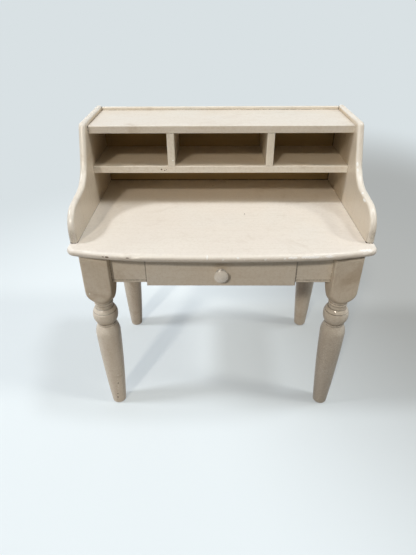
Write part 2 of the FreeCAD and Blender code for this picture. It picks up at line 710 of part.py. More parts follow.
TAPER_TOP = S.taper_height
COLLAR_LOW = TAPER_TOP + S.vase_rise
BALL_LOW = COLLAR_LOW + S.collar_height
BALL_TOP = BALL_LOW + S.ball_height
BALL_MIDDLE = BALL_LOW + S.ball_height / 2
BEAD_LOW = BALL_TOP + S.neck_low
BEAD_TOP = BEAD_LOW + S.neck_bead
SHOULDER_LOW = BEAD_TOP + S.neck_high
SHOULDER_TOP = SHOULDER_LOW + S.shoulder_rise
STOCK_RADIUS = (S.leg_block * S.leg_block / 2).root()


def swell_radius(chord_squared, swell):
    """Radius of an arc from its chord squared and its height over the chord."""
    return (chord_squared / 4 + swell * swell) / (swell * 2)


def upright_radius(run, rise):
    """Radius of an arc that ends upright after a run sideways and a rise."""
    return (run * run + rise * rise) / (run * 2)


def ball_radius_at(offset):
    """Radius of the ball at a height above its middle."""
    swell = S.ball_radius - S.quirk_radius
    curve = swell_radius(S.ball_height * S.ball_height, swell)
    return S.ball_radius - curve + (curve * curve - offset * offset).root()


def draw_leg_profile(sketch):
    """Half profile of the turning, from the foot to the head of the block."""
    foot, high = S.foot_radius, TOP_UNDER
    groove = BALL_MIDDLE + S.groove_rise
    below, above = S.groove_rise - S.groove_half, S.groove_rise + S.groove_half
    taper_run = S.taper_radius - foot
    taper_rise = TAPER_TOP - S.foot_round
    ball_curve = swell_radius(S.ball_height * S.ball_height, S.ball_radius - S.quirk_radius)
    corners = [
        (ZERO, ZERO),
        (foot - S.foot_round, ZERO),
        (foot, S.foot_round),
        (S.taper_radius, TAPER_TOP),
        (S.quirk_radius, COLLAR_LOW),
        (S.collar_radius, COLLAR_LOW),
        (S.collar_radius, BALL_LOW),
        (S.quirk_radius, BALL_LOW),
        (ball_radius_at(below), groove - S.groove_half),
        (ball_radius_at(S.groove_rise) - S.groove_depth, groove),
        (ball_radius_at(above), groove + S.groove_half),
        (S.quirk_radius, BALL_TOP),
        (S.neck_radius, BALL_TOP),
        (S.neck_radius, BEAD_LOW),
        (S.neck_radius, BEAD_TOP),
        (S.neck_radius, SHOULDER_LOW),
        (STOCK_RADIUS, SHOULDER_TOP),
        (STOCK_RADIUS, high),
        (ZERO, high),
    ]
    rounds = {
        1: S.foot_round,
        2: swell_radius(taper_run * taper_run + taper_rise * taper_rise, S.taper_swell),
        3: upright_radius(S.taper_radius - S.quirk_radius, S.vase_rise),
        7: ball_curve,
        10: ball_curve,
        13: swell_radius(S.neck_bead * S.neck_bead, S.neck_bead_swell),
        15: upright_radius(STOCK_RADIUS - S.neck_radius, S.shoulder_rise),
    }
    draw_outline(sketch, corners, rounds)


def square_block(body, name):
    """Cut the head of the turning to its square block with eased edges."""
    ring = sketch_on(body, "XY_Plane", name + "_square", lift=TOP_UNDER)
    outer = STOCK_RADIUS + S.leg_ease
    draw_rectangle(ring, -outer, -outer, outer, outer)
    flat = HALF_BLOCK - S.leg_ease
    corners = [(-flat, -HALF_BLOCK), (flat, -HALF_BLOCK), (HALF_BLOCK, -flat), (HALF_BLOCK, flat),
               (flat, HALF_BLOCK), (-flat, HALF_BLOCK), (-HALF_BLOCK, flat), (-HALF_BLOCK, -flat)]
    draw_outline(ring, corners, {side: S.leg_ease for side in (1, 3, 5, 7)})
    pocket(body, ring, TOP_UNDER - SHOULDER_LOW)


TENON_OFFSET = HALF_BLOCK - S.apron_setback - S.apron_thick / 2
TENON_LOW = APRON_LOW + S.tenon_shoulder
TENON_HIGH = TOP_UNDER - S.tenon_shoulder


def cut_mortise(body, name, role, face, middle, back):
    """Cut a mortise for an apron tenon into a face of the block."""
    hole = sketch_on(body, role, name, lift=face)
    half = S.tenon_thick / 2
    draw_rectangle(hole, middle - half, TENON_LOW, middle + half, TENON_HIGH)
    pocket(body, hole, S.tenon_length + S.mortise_room, back=back)


def make_leg(name, out_x, out_y):
    """A turned leg with two mortises; out_x and out_y point away from the desk's middle."""
    body = new_body(name)
    profile = sketch_on(body, "XZ_Plane", name + "_profile")
    draw_leg_profile(profile)
    turn(body, profile)
    square_block(body, name)
    inner, ahead = -(HALF_BLOCK * out_x), HALF_BLOCK * out_y
    cut_mortise(body, name + "_row_mortise", "YZ_Plane", inner, TENON_OFFSET * out_y, out_x > 0)
    cut_mortise(body, name + "_side_mortise", "XZ_Plane", ahead, TENON_OFFSET * out_x, out_y < 0)
    if out_y < 0:
        lap = sketch_on(body, "XY_Plane", name + "_lap", lift=TOP_UNDER)
        sunk = inner + S.front_rail_lap * out_x
        low, high = (inner, sunk) if out_x > 0 else (sunk, inner)
        start = APRON_BEHIND - LEG_FRONT_Y
        draw_rectangle(lap, low, start, high, start + S.front_rail_depth)
        pocket(body, lap, S.batten_height)
    place(body, LEG_X * out_x, LEG_FRONT_Y if out_y < 0 else LEG_REAR_Y, ZERO)
    return body


# The aprons and the rail above the drawer

def make_apron(name, length, tenons, x, y, turn_angle=0):
    """An apron with a bead along its lower outer edge and tenons at the named ends."""
    body = new_body(name)
    profile = sketch_on(body, "YZ_Plane", name + "_profile")
    quirk = S.bead_height + S.bead_quirk
    corners = [(S.bead_round, ZERO), (S.apron_thick, ZERO), (S.apron_thick, S.apron_height),
               (ZERO, S.apron_height), (ZERO, quirk), (S.bead_quirk, quirk),
               (S.bead_quirk, S.bead_height), (ZERO, S.bead_height), (ZERO, S.bead_round)]
    draw_outline(profile, corners, {8: S.bead_round})
    pad(body, profile, length)
    middle, half = S.apron_thick / 2, S.tenon_thick / 2
    low, high = S.tenon_shoulder, S.apron_height - S.tenon_shoulder
    for end in tenons:
        start = length if end == "far" else ZERO
        tenon = sketch_on(body, "YZ_Plane", f"{name}_{end}_tenon", lift=start)
        draw_rectangle(tenon, middle - half, low, middle + half, high)
        pad(body, tenon, S.tenon_length, back=end == "near")
    place(body, x, y, APRON_LOW, turn_angle)
    return body


def make_aprons():
    """Short aprons beside the drawer, and full ones along the sides and the back."""
    short = BLOCK_INNER - OPENING_HALF
    side = LEG_REAR_Y - LEG_FRONT_Y - S.leg_block
    ahead, behind = LEG_FRONT_Y + HALF_BLOCK, LEG_REAR_Y - HALF_BLOCK
    both = ("near", "far")
    return [
        make_apron("front_apron_left", short, ("near",), -BLOCK_INNER, APRON_FACE),
        make_apron("front_apron_right", short, ("far",), OPENING_HALF, APRON_FACE),
        make_apron("side_apron_left", side, both, -SIDE_APRON_FACE, behind, -90),
        make_apron("side_apron_right", side, both, SIDE_APRON_FACE, ahead, 90),
        make_apron("back_apron", BLOCK_INNER * 2, both, BLOCK_INNER, BACK_APRON_FACE, 180),
    ]


def drilled(name, x, y, z):
    """A batten under the top, drilled for its screws."""
    blank = box(name + "_batten", x, y, z)
    holes = [rod(f"{name}_hole_{i}", spot_x, spot_y, z[0], SCREW_HOLE, z[1] - z[0])
             for i, (spot_x, spot_y) in enumerate(TOP_SCREWS[name])]
    return cut(name, blank, holes)


def make_battens():
    """The rail above the drawer, let into the front legs, and the cleats of the top."""
    z = (BATTEN_LOW, TOP_UNDER)
    reach = BLOCK_INNER + S.front_rail_lap
    inside, edge = SIDE_APRON_INSIDE - S.cleat_width, BACK_APRON_INSIDE - S.cleat_width
    return [
        drilled("front_rail", (-reach, reach), (APRON_BEHIND, APRON_BEHIND + S.front_rail_depth), z),
        drilled("top_cleat_left", (-SIDE_APRON_INSIDE, -inside), SIDE_CLEAT, z),
        drilled("top_cleat_right", (inside, SIDE_APRON_INSIDE), SIDE_CLEAT, z),
        drilled("top_cleat_back", BACK_CLEAT, (edge, BACK_APRON_INSIDE), z),
    ]


# Screws

def screw(name, x, y, seat, radius, length):
    """An upright wood screw whose head hangs below its seat."""
    shank = rod(name + "_shank", x, y, seat, radius, length)
    head = rod(name + "_head", x, y, seat - S.screw_head_thick, S.screw_head_radius, S.screw_head_thick)
    whole = doc.addObject("Part::Fuse", name)
    whole.Label = name
    whole.Base = shank
    whole.Tool = head
    return whole


def make_screws():
    """Screws of the top and of the hutch ends, each kind as one group."""
    spots = [spot for held in TOP_SCREWS.values() for spot in held]
    short = S.batten_height + S.top_screw_bite
    top = [screw(f"top_screw_{i}", x, y, BATTEN_LOW, S.screw_radius, short)
           for i, (x, y) in enumerate(spots)]
    long = S.top_thick + S.panel_screw_bite
    ends = [screw(f"panel_screw_{i}", x, y, TOP_UNDER, S.screw_radius, long)
            for i, (x, y) in enumerate(panel_screw_places())]
    return [group("top_screws", top), group("panel_screws", ends)]


# The drawer and what carries it

def make_runner(side, sign):
    """A rebated bearer: a ledge under the drawer side and a guide beside it."""
    name = f"drawer_runner_{side}"
    body = new_body(name)
    section = sketch_on(body, "XZ_Plane", name + "_section")
    inner, outer = GUIDE - S.runner_ledge, GUIDE + S.runner_thick
    high = RUNNER_LOW + S.runner_height
    corners = [(inner, RUNNER_LOW), (outer, RUNNER_LOW), (outer, high),
               (GUIDE, high), (GUIDE, LEDGE), (inner, LEDGE)]
    draw_outline(section, [(x * sign, z) for x, z in corners])
    pad(body, section, BACK_APRON_INSIDE - APRON_BEHIND, back=True)
    place(body, ZERO, APRON_BEHIND, ZERO)
    return body


def make_stop(side, sign):
    """A block on the ledge that stops the shut drawer."""
    inner, outer = (GUIDE - S.runner_ledge) * sign, GUIDE * sign
    x = (inner, outer) if sign > 0 else (outer, inner)
    start = DRAWER_END + S.stop_gap
    return box(f"drawer_stop_{side}", x, (start, start + S.stop_length), (LEDGE, LEDGE + S.stop_height))


def make_drawer_front():
    """The drawer's face, grooved behind for its sides and bottom."""
    name = "drawer_front"
    body = new_body(name)
    face = sketch_on(body, "XZ_Plane", name + "_face")
    half = S.drawer_width / 2
    draw_rectangle(face, -half, ZERO, half, DRAWER_FRONT_HEIGHT)
    pad(body, face, S.drawer_thick)
    round_edges(body, S.drawer_round, lambda b: near(b.YMax, -S.drawer_thick))
    low = SIDE_LOW - DRAWER_LOW
    for side, sign in SIDES.items():
        joint = sketch_on(body, "XZ_Plane", f"{name}_{side}_joint")
        a, b = DRAWER_INSIDE * sign, DRAWER_HALF * sign
        x_low, x_high = (a, b) if sign > 0 else (b, a)
        draw_rectangle(joint, x_low, low, x_high, SIDE_TOP - DRAWER_LOW)
        pocket(body, joint, S.drawer_lap, back=True)
    groove = sketch_on(body, "XZ_Plane", name + "_groove")
    floor = BOTTOM_LOW - DRAWER_LOW
    draw_rectangle(groove, -DRAWER_INSIDE, floor, DRAWER_INSIDE, floor + S.bottom_thick)
    pocket(body, groove, S.bottom_groove, back=True)
    hole = sketch_on(body, "XZ_Plane", name + "_screw_hole")
    draw_circles(hole, [(ZERO, S.knob_rise)], S.knob_screw_radius + S.screw_room)
    pocket(body, hole, S.drawer_thick, back=True)
    place(body, ZERO, DRAWER_BEHIND, DRAWER_LOW)
    return body


def make_drawer_side(side, sign):
    """A drawer side, let into the front and grooved for the bottom and the back."""
    name = f"drawer_side_{side}"

    def across(inner, outer):
        return (inner * sign, outer * sign) if sign > 0 else (outer * sign, inner * sign)

    start = DRAWER_BEHIND - S.drawer_lap
    z = (SIDE_LOW, SIDE_TOP)
    board = box(name + "_board", across(DRAWER_INSIDE, DRAWER_HALF), (start, DRAWER_END), z)
    sunk = across(DRAWER_INSIDE, DRAWER_INSIDE + S.bottom_groove)
    floor = BOTTOM_LOW + S.bottom_thick
    groove = box(name + "_groove", sunk, (start, DRAWER_END), (BOTTOM_LOW, floor))
    end = (DRAWER_END - S.drawer_side_thick, DRAWER_END)
    housing = box(name + "_housing", sunk, end, (floor, SIDE_TOP))
    return cut(name, board, [groove, housing])


def make_drawer_box():
    """Back and bottom of the drawer; the bottom runs under the back."""
    reach = DRAWER_INSIDE + S.bottom_groove
    floor = BOTTOM_LOW + S.bottom_thick
    top = SIDE_TOP - S.drawer_back_drop
    x, z = (-reach, reach), (BOTTOM_LOW, floor)
    back = box("drawer_back", x, (DRAWER_END - S.drawer_side_thick, DRAWER_END), (floor, top))
    tongue = DRAWER_BEHIND - S.bottom_groove
    blank = box("drawer_bottom_board", x, (tongue, DRAWER_END), z)
    notches = []
    for side, sign in SIDES.items():
        a, b = DRAWER_INSIDE * sign, reach * sign
        ends = (a, b) if sign > 0 else (b, a)
        notches.append(box(f"drawer_bottom_notch_{side}", ends, (tongue, DRAWER_BEHIND), z))
    return [back, cut("drawer_bottom", blank, notches)]


def make_knob():
    """A turned knob with a collar, a hollow neck and a low domed head, bored for its screw."""
    name = "drawer_knob"
    body = new_body(name)
    profile = sketch_on(body, "XY_Plane", name + "_profile")
    bore = S.knob_screw_radius + S.screw_room
    bite = S.knob_screw_bite + S.screw_room
    under = S.knob_base_thick + S.knob_neck_length
    rim = under + S.knob_rim
    edge = S.knob_neck_radius + S.knob_rim / 2
    lip = S.knob_base_radius - S.knob_base_thick / 2
    corners = [
        (bore, ZERO),
        (bore, -bite),
        (ZERO, -bite),
        (ZERO, -(rim + S.knob_dome)),
        (S.knob_head_radius, -rim),
        (edge, -under),
        (lip, -S.knob_base_thick),
        (S.knob_base_radius, -(S.knob_base_thick / 2)),
        (S.knob_base_radius, ZERO),
    ]
    dome = upright_radius(S.knob_dome, S.knob_head_radius)
    head = S.knob_head_radius - edge
    rounds = {3: dome, 4: upright_radius(head, S.knob_rim), 6: S.knob_base_thick / 2}
    waist = (edge + lip) / 2 - S.knob_neck_radius
    spread = lip - edge
    chord = spread * spread + S.knob_neck_length * S.knob_neck_length
    draw_outline(profile, corners, rounds, {5: swell_radius(chord, waist)})
    turn(body, profile)
    round_edges(body, S.knob_edge, lambda b: b.YLength < 1e-6 and near(b.XMax, S.knob_head_radius))
    place(body, ZERO, DRAWER_FACE, KNOB_Z)
    return body


def make_knob_screw():
    """The screw from inside the drawer front into the knob."""
    length = S.drawer_thick + S.knob_screw_bite
    whole = screw("knob_screw", ZERO, ZERO, ZERO, S.knob_screw_radius, length)
    whole.Placement = Placement(Vector(0, 0, 0), Rotation(Vector(1, 0, 0), 90))
    bind(whole, Placement__Base__y=DRAWER_BEHIND, Placement__Base__z=KNOB_Z)
    return whole


def make_desk():
    """Every piece of the desk, in the order in which it goes together."""
    pieces = [make_leg(f"leg_{row}_{side}", sign, out)
              for row, out in (("front", -1), ("rear", 1)) for side, sign in SIDES.items()]
    pieces += make_aprons()
    pieces += make_battens()
    for side, sign in SIDES.items():
        pieces += [make_runner(side, sign), make_stop(side, sign)]
    pieces.append(make_desktop())
    for side, sign in SIDES.items():
        pieces += [make_side_panel(side, sign), make_divider(side, sign)]
    pieces.append(make_shelf("top_shelf", TOP_SHELF, REAR, DIVIDER_HIGH))
    pieces.append(make_shelf("middle_shelf", MIDDLE_SHELF, BACK_FACE, DIVIDER_LOW))
    pieces += [make_divider_dowels(), make_back_panel(), make_gallery_rail()]
    pieces += make_screws()
    pieces.append(make_drawer_front())
    pieces += [make_drawer_side(side, sign) for side, sign in SIDES.items()]
    pieces += make_drawer_box()
    pieces += [make_knob(), make_knob_screw()]
    return pieces


def check(pieces):
    """Stop unless every object is sound and every piece is a valid solid."""
    doc.recompute()
    for item in doc.Objects:
        if "Invalid" in item.State or "Error" in item.State:
            raise ValueError(f"{item.Name} is {item.State}")
    for piece in pieces:
        if piece.Shape.isNull() or not piece.Shape.isValid() or not piece.Shape.Solids:
            raise ValueError(f"{piece.Label} is not a valid solid")


desk = make_desk()
check(desk)
os.makedirs("parts", exist_ok=True)
for piece in desk:
    piece.Shape.exportStep(f"parts/{piece.Label}.step")
print(f"{len(desk)} pieces written")
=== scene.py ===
"""A cream-painted bow-front writing desk: finishes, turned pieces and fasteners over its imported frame."""

import json
import logging
import math
from collections.abc import Callable, Sequence
from dataclasses import dataclass, replace
from enum import Enum
from functools import partial, reduce
from typing import Any, ClassVar

import bmesh
import bpy
from mathutils import Matrix, Vector

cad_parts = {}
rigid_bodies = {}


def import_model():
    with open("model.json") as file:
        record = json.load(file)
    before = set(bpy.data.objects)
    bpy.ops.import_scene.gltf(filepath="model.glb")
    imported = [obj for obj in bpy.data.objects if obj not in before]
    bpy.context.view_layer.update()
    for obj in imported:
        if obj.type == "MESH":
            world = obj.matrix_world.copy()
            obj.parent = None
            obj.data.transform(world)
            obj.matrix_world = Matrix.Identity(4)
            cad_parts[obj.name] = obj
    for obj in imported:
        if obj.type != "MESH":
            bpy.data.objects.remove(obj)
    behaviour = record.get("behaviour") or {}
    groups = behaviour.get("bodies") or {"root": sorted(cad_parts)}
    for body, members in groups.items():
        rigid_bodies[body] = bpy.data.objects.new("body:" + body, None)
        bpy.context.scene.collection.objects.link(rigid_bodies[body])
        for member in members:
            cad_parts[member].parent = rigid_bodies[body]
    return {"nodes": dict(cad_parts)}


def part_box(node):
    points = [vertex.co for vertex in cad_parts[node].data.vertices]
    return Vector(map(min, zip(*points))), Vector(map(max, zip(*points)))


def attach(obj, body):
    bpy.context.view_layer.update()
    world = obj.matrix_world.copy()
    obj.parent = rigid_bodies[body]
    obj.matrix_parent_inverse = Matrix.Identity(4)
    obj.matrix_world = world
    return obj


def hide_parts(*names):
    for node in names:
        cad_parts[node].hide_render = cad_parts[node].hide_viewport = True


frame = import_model()

log = logging.getLogger("writing_desk")

Point = tuple[float, float, float]
Colour = tuple[float, float, float, float]

X, Y, Z = range(3)
SIDES = {"left": -1, "right": 1}


def tone(red: float, green: float, blue: float) -> Colour:
    """Turn a tone in display values into the linear colour that a shader takes.

    Args:
        red: Red from 0 to 255.
        green: Green from 0 to 255.
        blue: Blue from 0 to 255.

    Returns:
        The linear colour with full alpha.
    """
    parts = [value / 255 for value in (red, green, blue)]
    linear = [((part + 0.055) / 1.055) ** 2.4 if part > 0.04045 else part / 12.92 for part in parts]
    return (linear[0], linear[1], linear[2], 1.0)


class Shade:
    """One output of a node, which takes part in sums as a number does."""

    def __init__(self, sheet: "Sheet", socket: bpy.types.NodeSocket) -> None:
        """Keep the sheet of nodes and the output socket."""
        self.sheet = sheet
        self.socket = socket

    def other(self, output: str) -> "Shade":
        """Another output of the same node."""
        return Shade(self.sheet, self.socket.node.outputs[output])

    def __add__(self, value: "Shade | float") -> "Shade":
        """Sum."""
        return self.sheet.math("ADD", self, value)

    __radd__ = __add__

    def __sub__(self, value: "Shade | float") -> "Shade":
        """Difference."""
        return self.sheet.math("SUBTRACT", self, value)

    def __rsub__(self, value: float) -> "Shade":
        """Difference, taken from a number."""
        return self.sheet.math("SUBTRACT", value, self)

    def __mul__(self, value: "Shade | float") -> "Shade":
        """Product."""
        return self.sheet.math("MULTIPLY", self, value)

    __rmul__ = __mul__

    def __truediv__(self, value: "Shade | float") -> "Shade":
        """Quotient."""
        return self.sheet.math("DIVIDE", self, value)

    def __rtruediv__(self, value: float) -> "Shade":
        """Quotient of a number by this."""
        return self.sheet.math("DIVIDE", value, self)

    def __pow__(self, value: "Shade | float") -> "Shade":
        """Power."""
        return self.sheet.math("POWER", self, value)

    def __abs__(self) -> "Shade":
        """Size without its sign."""
        return self.sheet.math("ABSOLUTE", self)


class Sheet:
    """The nodes of one material, of one geometry tree or of the world."""

    def __init__(self, tree: bpy.types.NodeTree) -> None:
        """Take over a tree and empty it."""
        self.tree = tree
        tree.nodes.clear()

    def add(self, kind: str, settings: dict[str, Any] | None = None, sockets: dict[int | str, Any] | None = None,
            output: int | str = 0) -> Shade:
        """Add a node.

        Args:
            kind: The node's type.
            settings: Properties of the node, set first.
            sockets: Values or shades for its inputs, by name or number.
            output: The output that is handed back.

        Returns:
            The chosen output.
        """
        node = self.tree.nodes.new(kind)
        for name, value in (settings or {}).items():
            setattr(node, name, value)
        for name, value in (sockets or {}).items():
            if isinstance(value, Shade):
                self.tree.links.new(value.socket, node.inputs[name])
            else:
                node.inputs[name].default_value = value
        return Shade(self, node.outputs[output])

    def end(self, kind: str, shade: Shade) -> None:
        """Lead a shade to a closing node of that type."""
        node = self.tree.nodes.new(kind)
        self.tree.links.new(shade.socket, node.inputs[0])

    def math(self, operation: str, *values: Shade | float) -> Shade:
        """Add a sum on numbers."""
        return self.add("ShaderNodeMath", {"operation": operation}, dict(enumerate(values)))

    def vector(self, operation: str, *values: Shade | Point, output: int = 0) -> Shade:
        """Add a sum on vectors."""
        return self.add("ShaderNodeVectorMath", {"operation": operation}, dict(enumerate(values)), output)

    def length(self, vector: Shade) -> Shade:
        """A vector's length."""
        return self.vector("LENGTH", vector, output=1)

    def parts(self, vector: Shade) -> tuple[Shade, Shade, Shade]:
        """A vector's three parts."""
        first = self.add("ShaderNodeSeparateXYZ", sockets={0: vector})
        return first, first.other("Y"), first.other("Z")

    def join(self, *parts: Shade | float) -> Shade:
        """A vector from its parts."""
        return self.add("ShaderNodeCombineXYZ", {}, dict(enumerate(parts)))

    def place(self) -> Shade:
        """Where a point is on its own object."""
        return self.add("ShaderNodeTexCoord", output="Object")

    def mix(self, amount: Shade | float, first: Shade | Colour, second: Shade | Colour) -> Shade:
        """Blend two colours, from the first at 0 to the second at 1."""
        return self.add("ShaderNodeMix", {"data_type": "RGBA"}, {0: amount, 6: first, 7: second}, 2)

    def coats(self, colour: Shade | Colour, *coats: tuple[Shade | float, Colour]) -> Shade | Colour:
        """Lay coats over a colour, one after the other, each given as how much of it there is and its colour."""
        return reduce(lambda under, coat: self.mix(coat[0], under, coat[1]), coats, colour)

    def smooth(self, value: Shade, low: float, high: float) -> Shade:
        """Rise softly from 0 at low to 1 at high."""
        return self.add("ShaderNodeMapRange", {"interpolation_type": "SMOOTHSTEP"}, {0: value, 1: low, 2: high})

    def noise(self, at: Shade, scale: float | Point, detail: float = 2.0, roughness: float = 0.5,
              distortion: float = 0.0) -> Shade:
        """Add a noise.

        Args:
            at: Where it is read.
            scale: Cycles to the metre, alike all ways or for each axis.
            detail: Octaves.
            roughness: How strong the finer octaves are.
            distortion: How much it swirls.

        Returns:
            A number around one half.
        """
        if isinstance(scale, tuple):
            at, scale = self.vector("MULTIPLY", at, scale), 1.0
        return self.add("ShaderNodeTexNoise", {"noise_dimensions": "3D"},
                        {"Vector": at, "Scale": scale, "Detail": detail, "Roughness": roughness,
                         "Distortion": distortion})

    def bump(self, height: Shade, strength: float, depth: float) -> Shade:
        """A normal from a relief, with its strength and its depth in metres."""
        return self.add("ShaderNodeBump", {}, {"Strength": strength, "Distance": depth, "Height": height})

    def largest(self, *values: Shade) -> Shade:
        """The largest of several numbers."""
        return reduce(partial(self.math, "MAXIMUM"), values)


class Grain(Enum):
    """The way the grain and the brush run along a piece."""

    ACROSS = X
    DEEP = Y
    UP = Z

    def stretch(self, along: float, over: float) -> Point:
        """Cycles to the metre on each axis, from those along the grain and those over it."""
        return tuple(along if axis == self.value else over for axis in (X, Y, Z))


@dataclass(frozen=True)
class DarkBand:
    """A dark band: grime along a joint, and in places painted shade in a crease or low on a piece.

    Attributes:
        axis: X, Y or Z, to which the line is square.
        place: Where it is along that axis, in metres.
        depth: How dark it is, from 0 to 1.
        half: Half of its width, in metres.
        along: X, Y or Z, on which it has ends.
        ends: Where it starts and stops on that axis, in metres.
        broken: How far it is broken up, from 0 to 1.
    """

    axis: int
    place: float
    depth: float = 0.55
    half: float = 0.0016
    along: int = X
    ends: tuple[float, float] | None = None
    broken: float = 1.0

    def mask(self, sheet: Sheet, places: Sequence[Shade], patches: Shade) -> Shade:
        """Work out how dark the line makes a point.

        Args:
            sheet: The paint's nodes.
            places: The point's X, Y and Z.
            patches: A pattern that breaks the line up.

        Returns:
            0 off the line, and up to its depth on it.
        """
        near = sheet.smooth(abs(places[self.axis] - self.place), self.half, self.half * 0.3)
        if self.ends:
            run, (first, last), soft = places[self.along], self.ends, 0.002
            near = near * sheet.smooth(run, first, first + soft) * sheet.smooth(run, last, last - soft)
        return near * (patches * self.broken + (1 - self.broken)) * self.depth


@dataclass(frozen=True)
class Chip:
    """A spot where the paint has gone.

    Attributes:
        place: Its middle, in metres.
        reach: Half of its size along X, Y and Z, in metres.
        bare: True where dark timber shows, False where the pale ground does.
        torn: How far its outline wanders.
    """

    place: Point
    reach: Point
    bare: bool = False
    torn: float = 1.6

    def mask(self, sheet: Sheet, at: Shade, speck: Shade, cloud: Shade) -> Shade:
        """1 on the chip and 0 off it, where a fine noise tears its outline and a coarse one bends it."""
        away = sheet.length(sheet.vector("DIVIDE", sheet.vector("SUBTRACT", at, self.place), self.reach))
        return sheet.smooth(away + (speck - 0.5) * self.torn + (cloud - 0.5) * 0.8, 1.05, 0.85)


@dataclass(frozen=True)
class PaintedShade:
    """Painted shade: a brown tint on faces that look one way and lie deeper than a start along Y, standing in for the
    shade in the recesses.

    Attributes:
        facing: The way the faces with painted shade look.
        amount: How strong the painted shade is, from 0 to 1.
        start: Where it starts along Y, in metres.
    """

    facing: Point
    amount: float
    start: float = 0.055

    def mask(self, sheet: Sheet, normal: Shade, deep: Shade) -> Shade:
        """How much painted shade a point takes, from the way it looks and how deep along Y it lies."""
        looks = sheet.vector("DOT_PRODUCT", normal, self.facing, output=1)
        return sheet.smooth(looks, 0.4, 0.9) * sheet.smooth(deep, self.start, self.start + 0.10) * self.amount


class Finish:
    """What every finish shares: materials that are named after the finish and their piece."""

    kind: str
    make: Callable[..., bpy.types.Material]

    def start(self, piece: str) -> tuple[bpy.types.Material, Sheet]:
        """Make an empty material.

        Args:
            piece: The piece that it is for.

        Returns:
            The material and its nodes.
        """
        material = bpy.data.materials.new(f"{self.kind}_{piece}")
        material.use_nodes = True
        return material, Sheet(material.node_tree)

    def close(self, sheet: Sheet, sockets: dict[str, Any]) -> None:
        """Finish a sheet with its shader, from values and shades for the shader's inputs."""
        sheet.end("ShaderNodeOutputMaterial", sheet.add("ShaderNodeBsdfPrincipled", {}, sockets))

    def dress(self, node: str, *details: Any, **named: Any) -> None:
        """Give a node of the frame this finish, and say so.

        Args:
            node: The node.
            details: What the finish's own make takes after the piece.
            named: More of that, by name.
        """
        material = self.make(node, *details, **named)
        for slot in frame["nodes"][node].material_slots:
            slot.material = material
        log.info("dressed %s in %s", node, material.name)


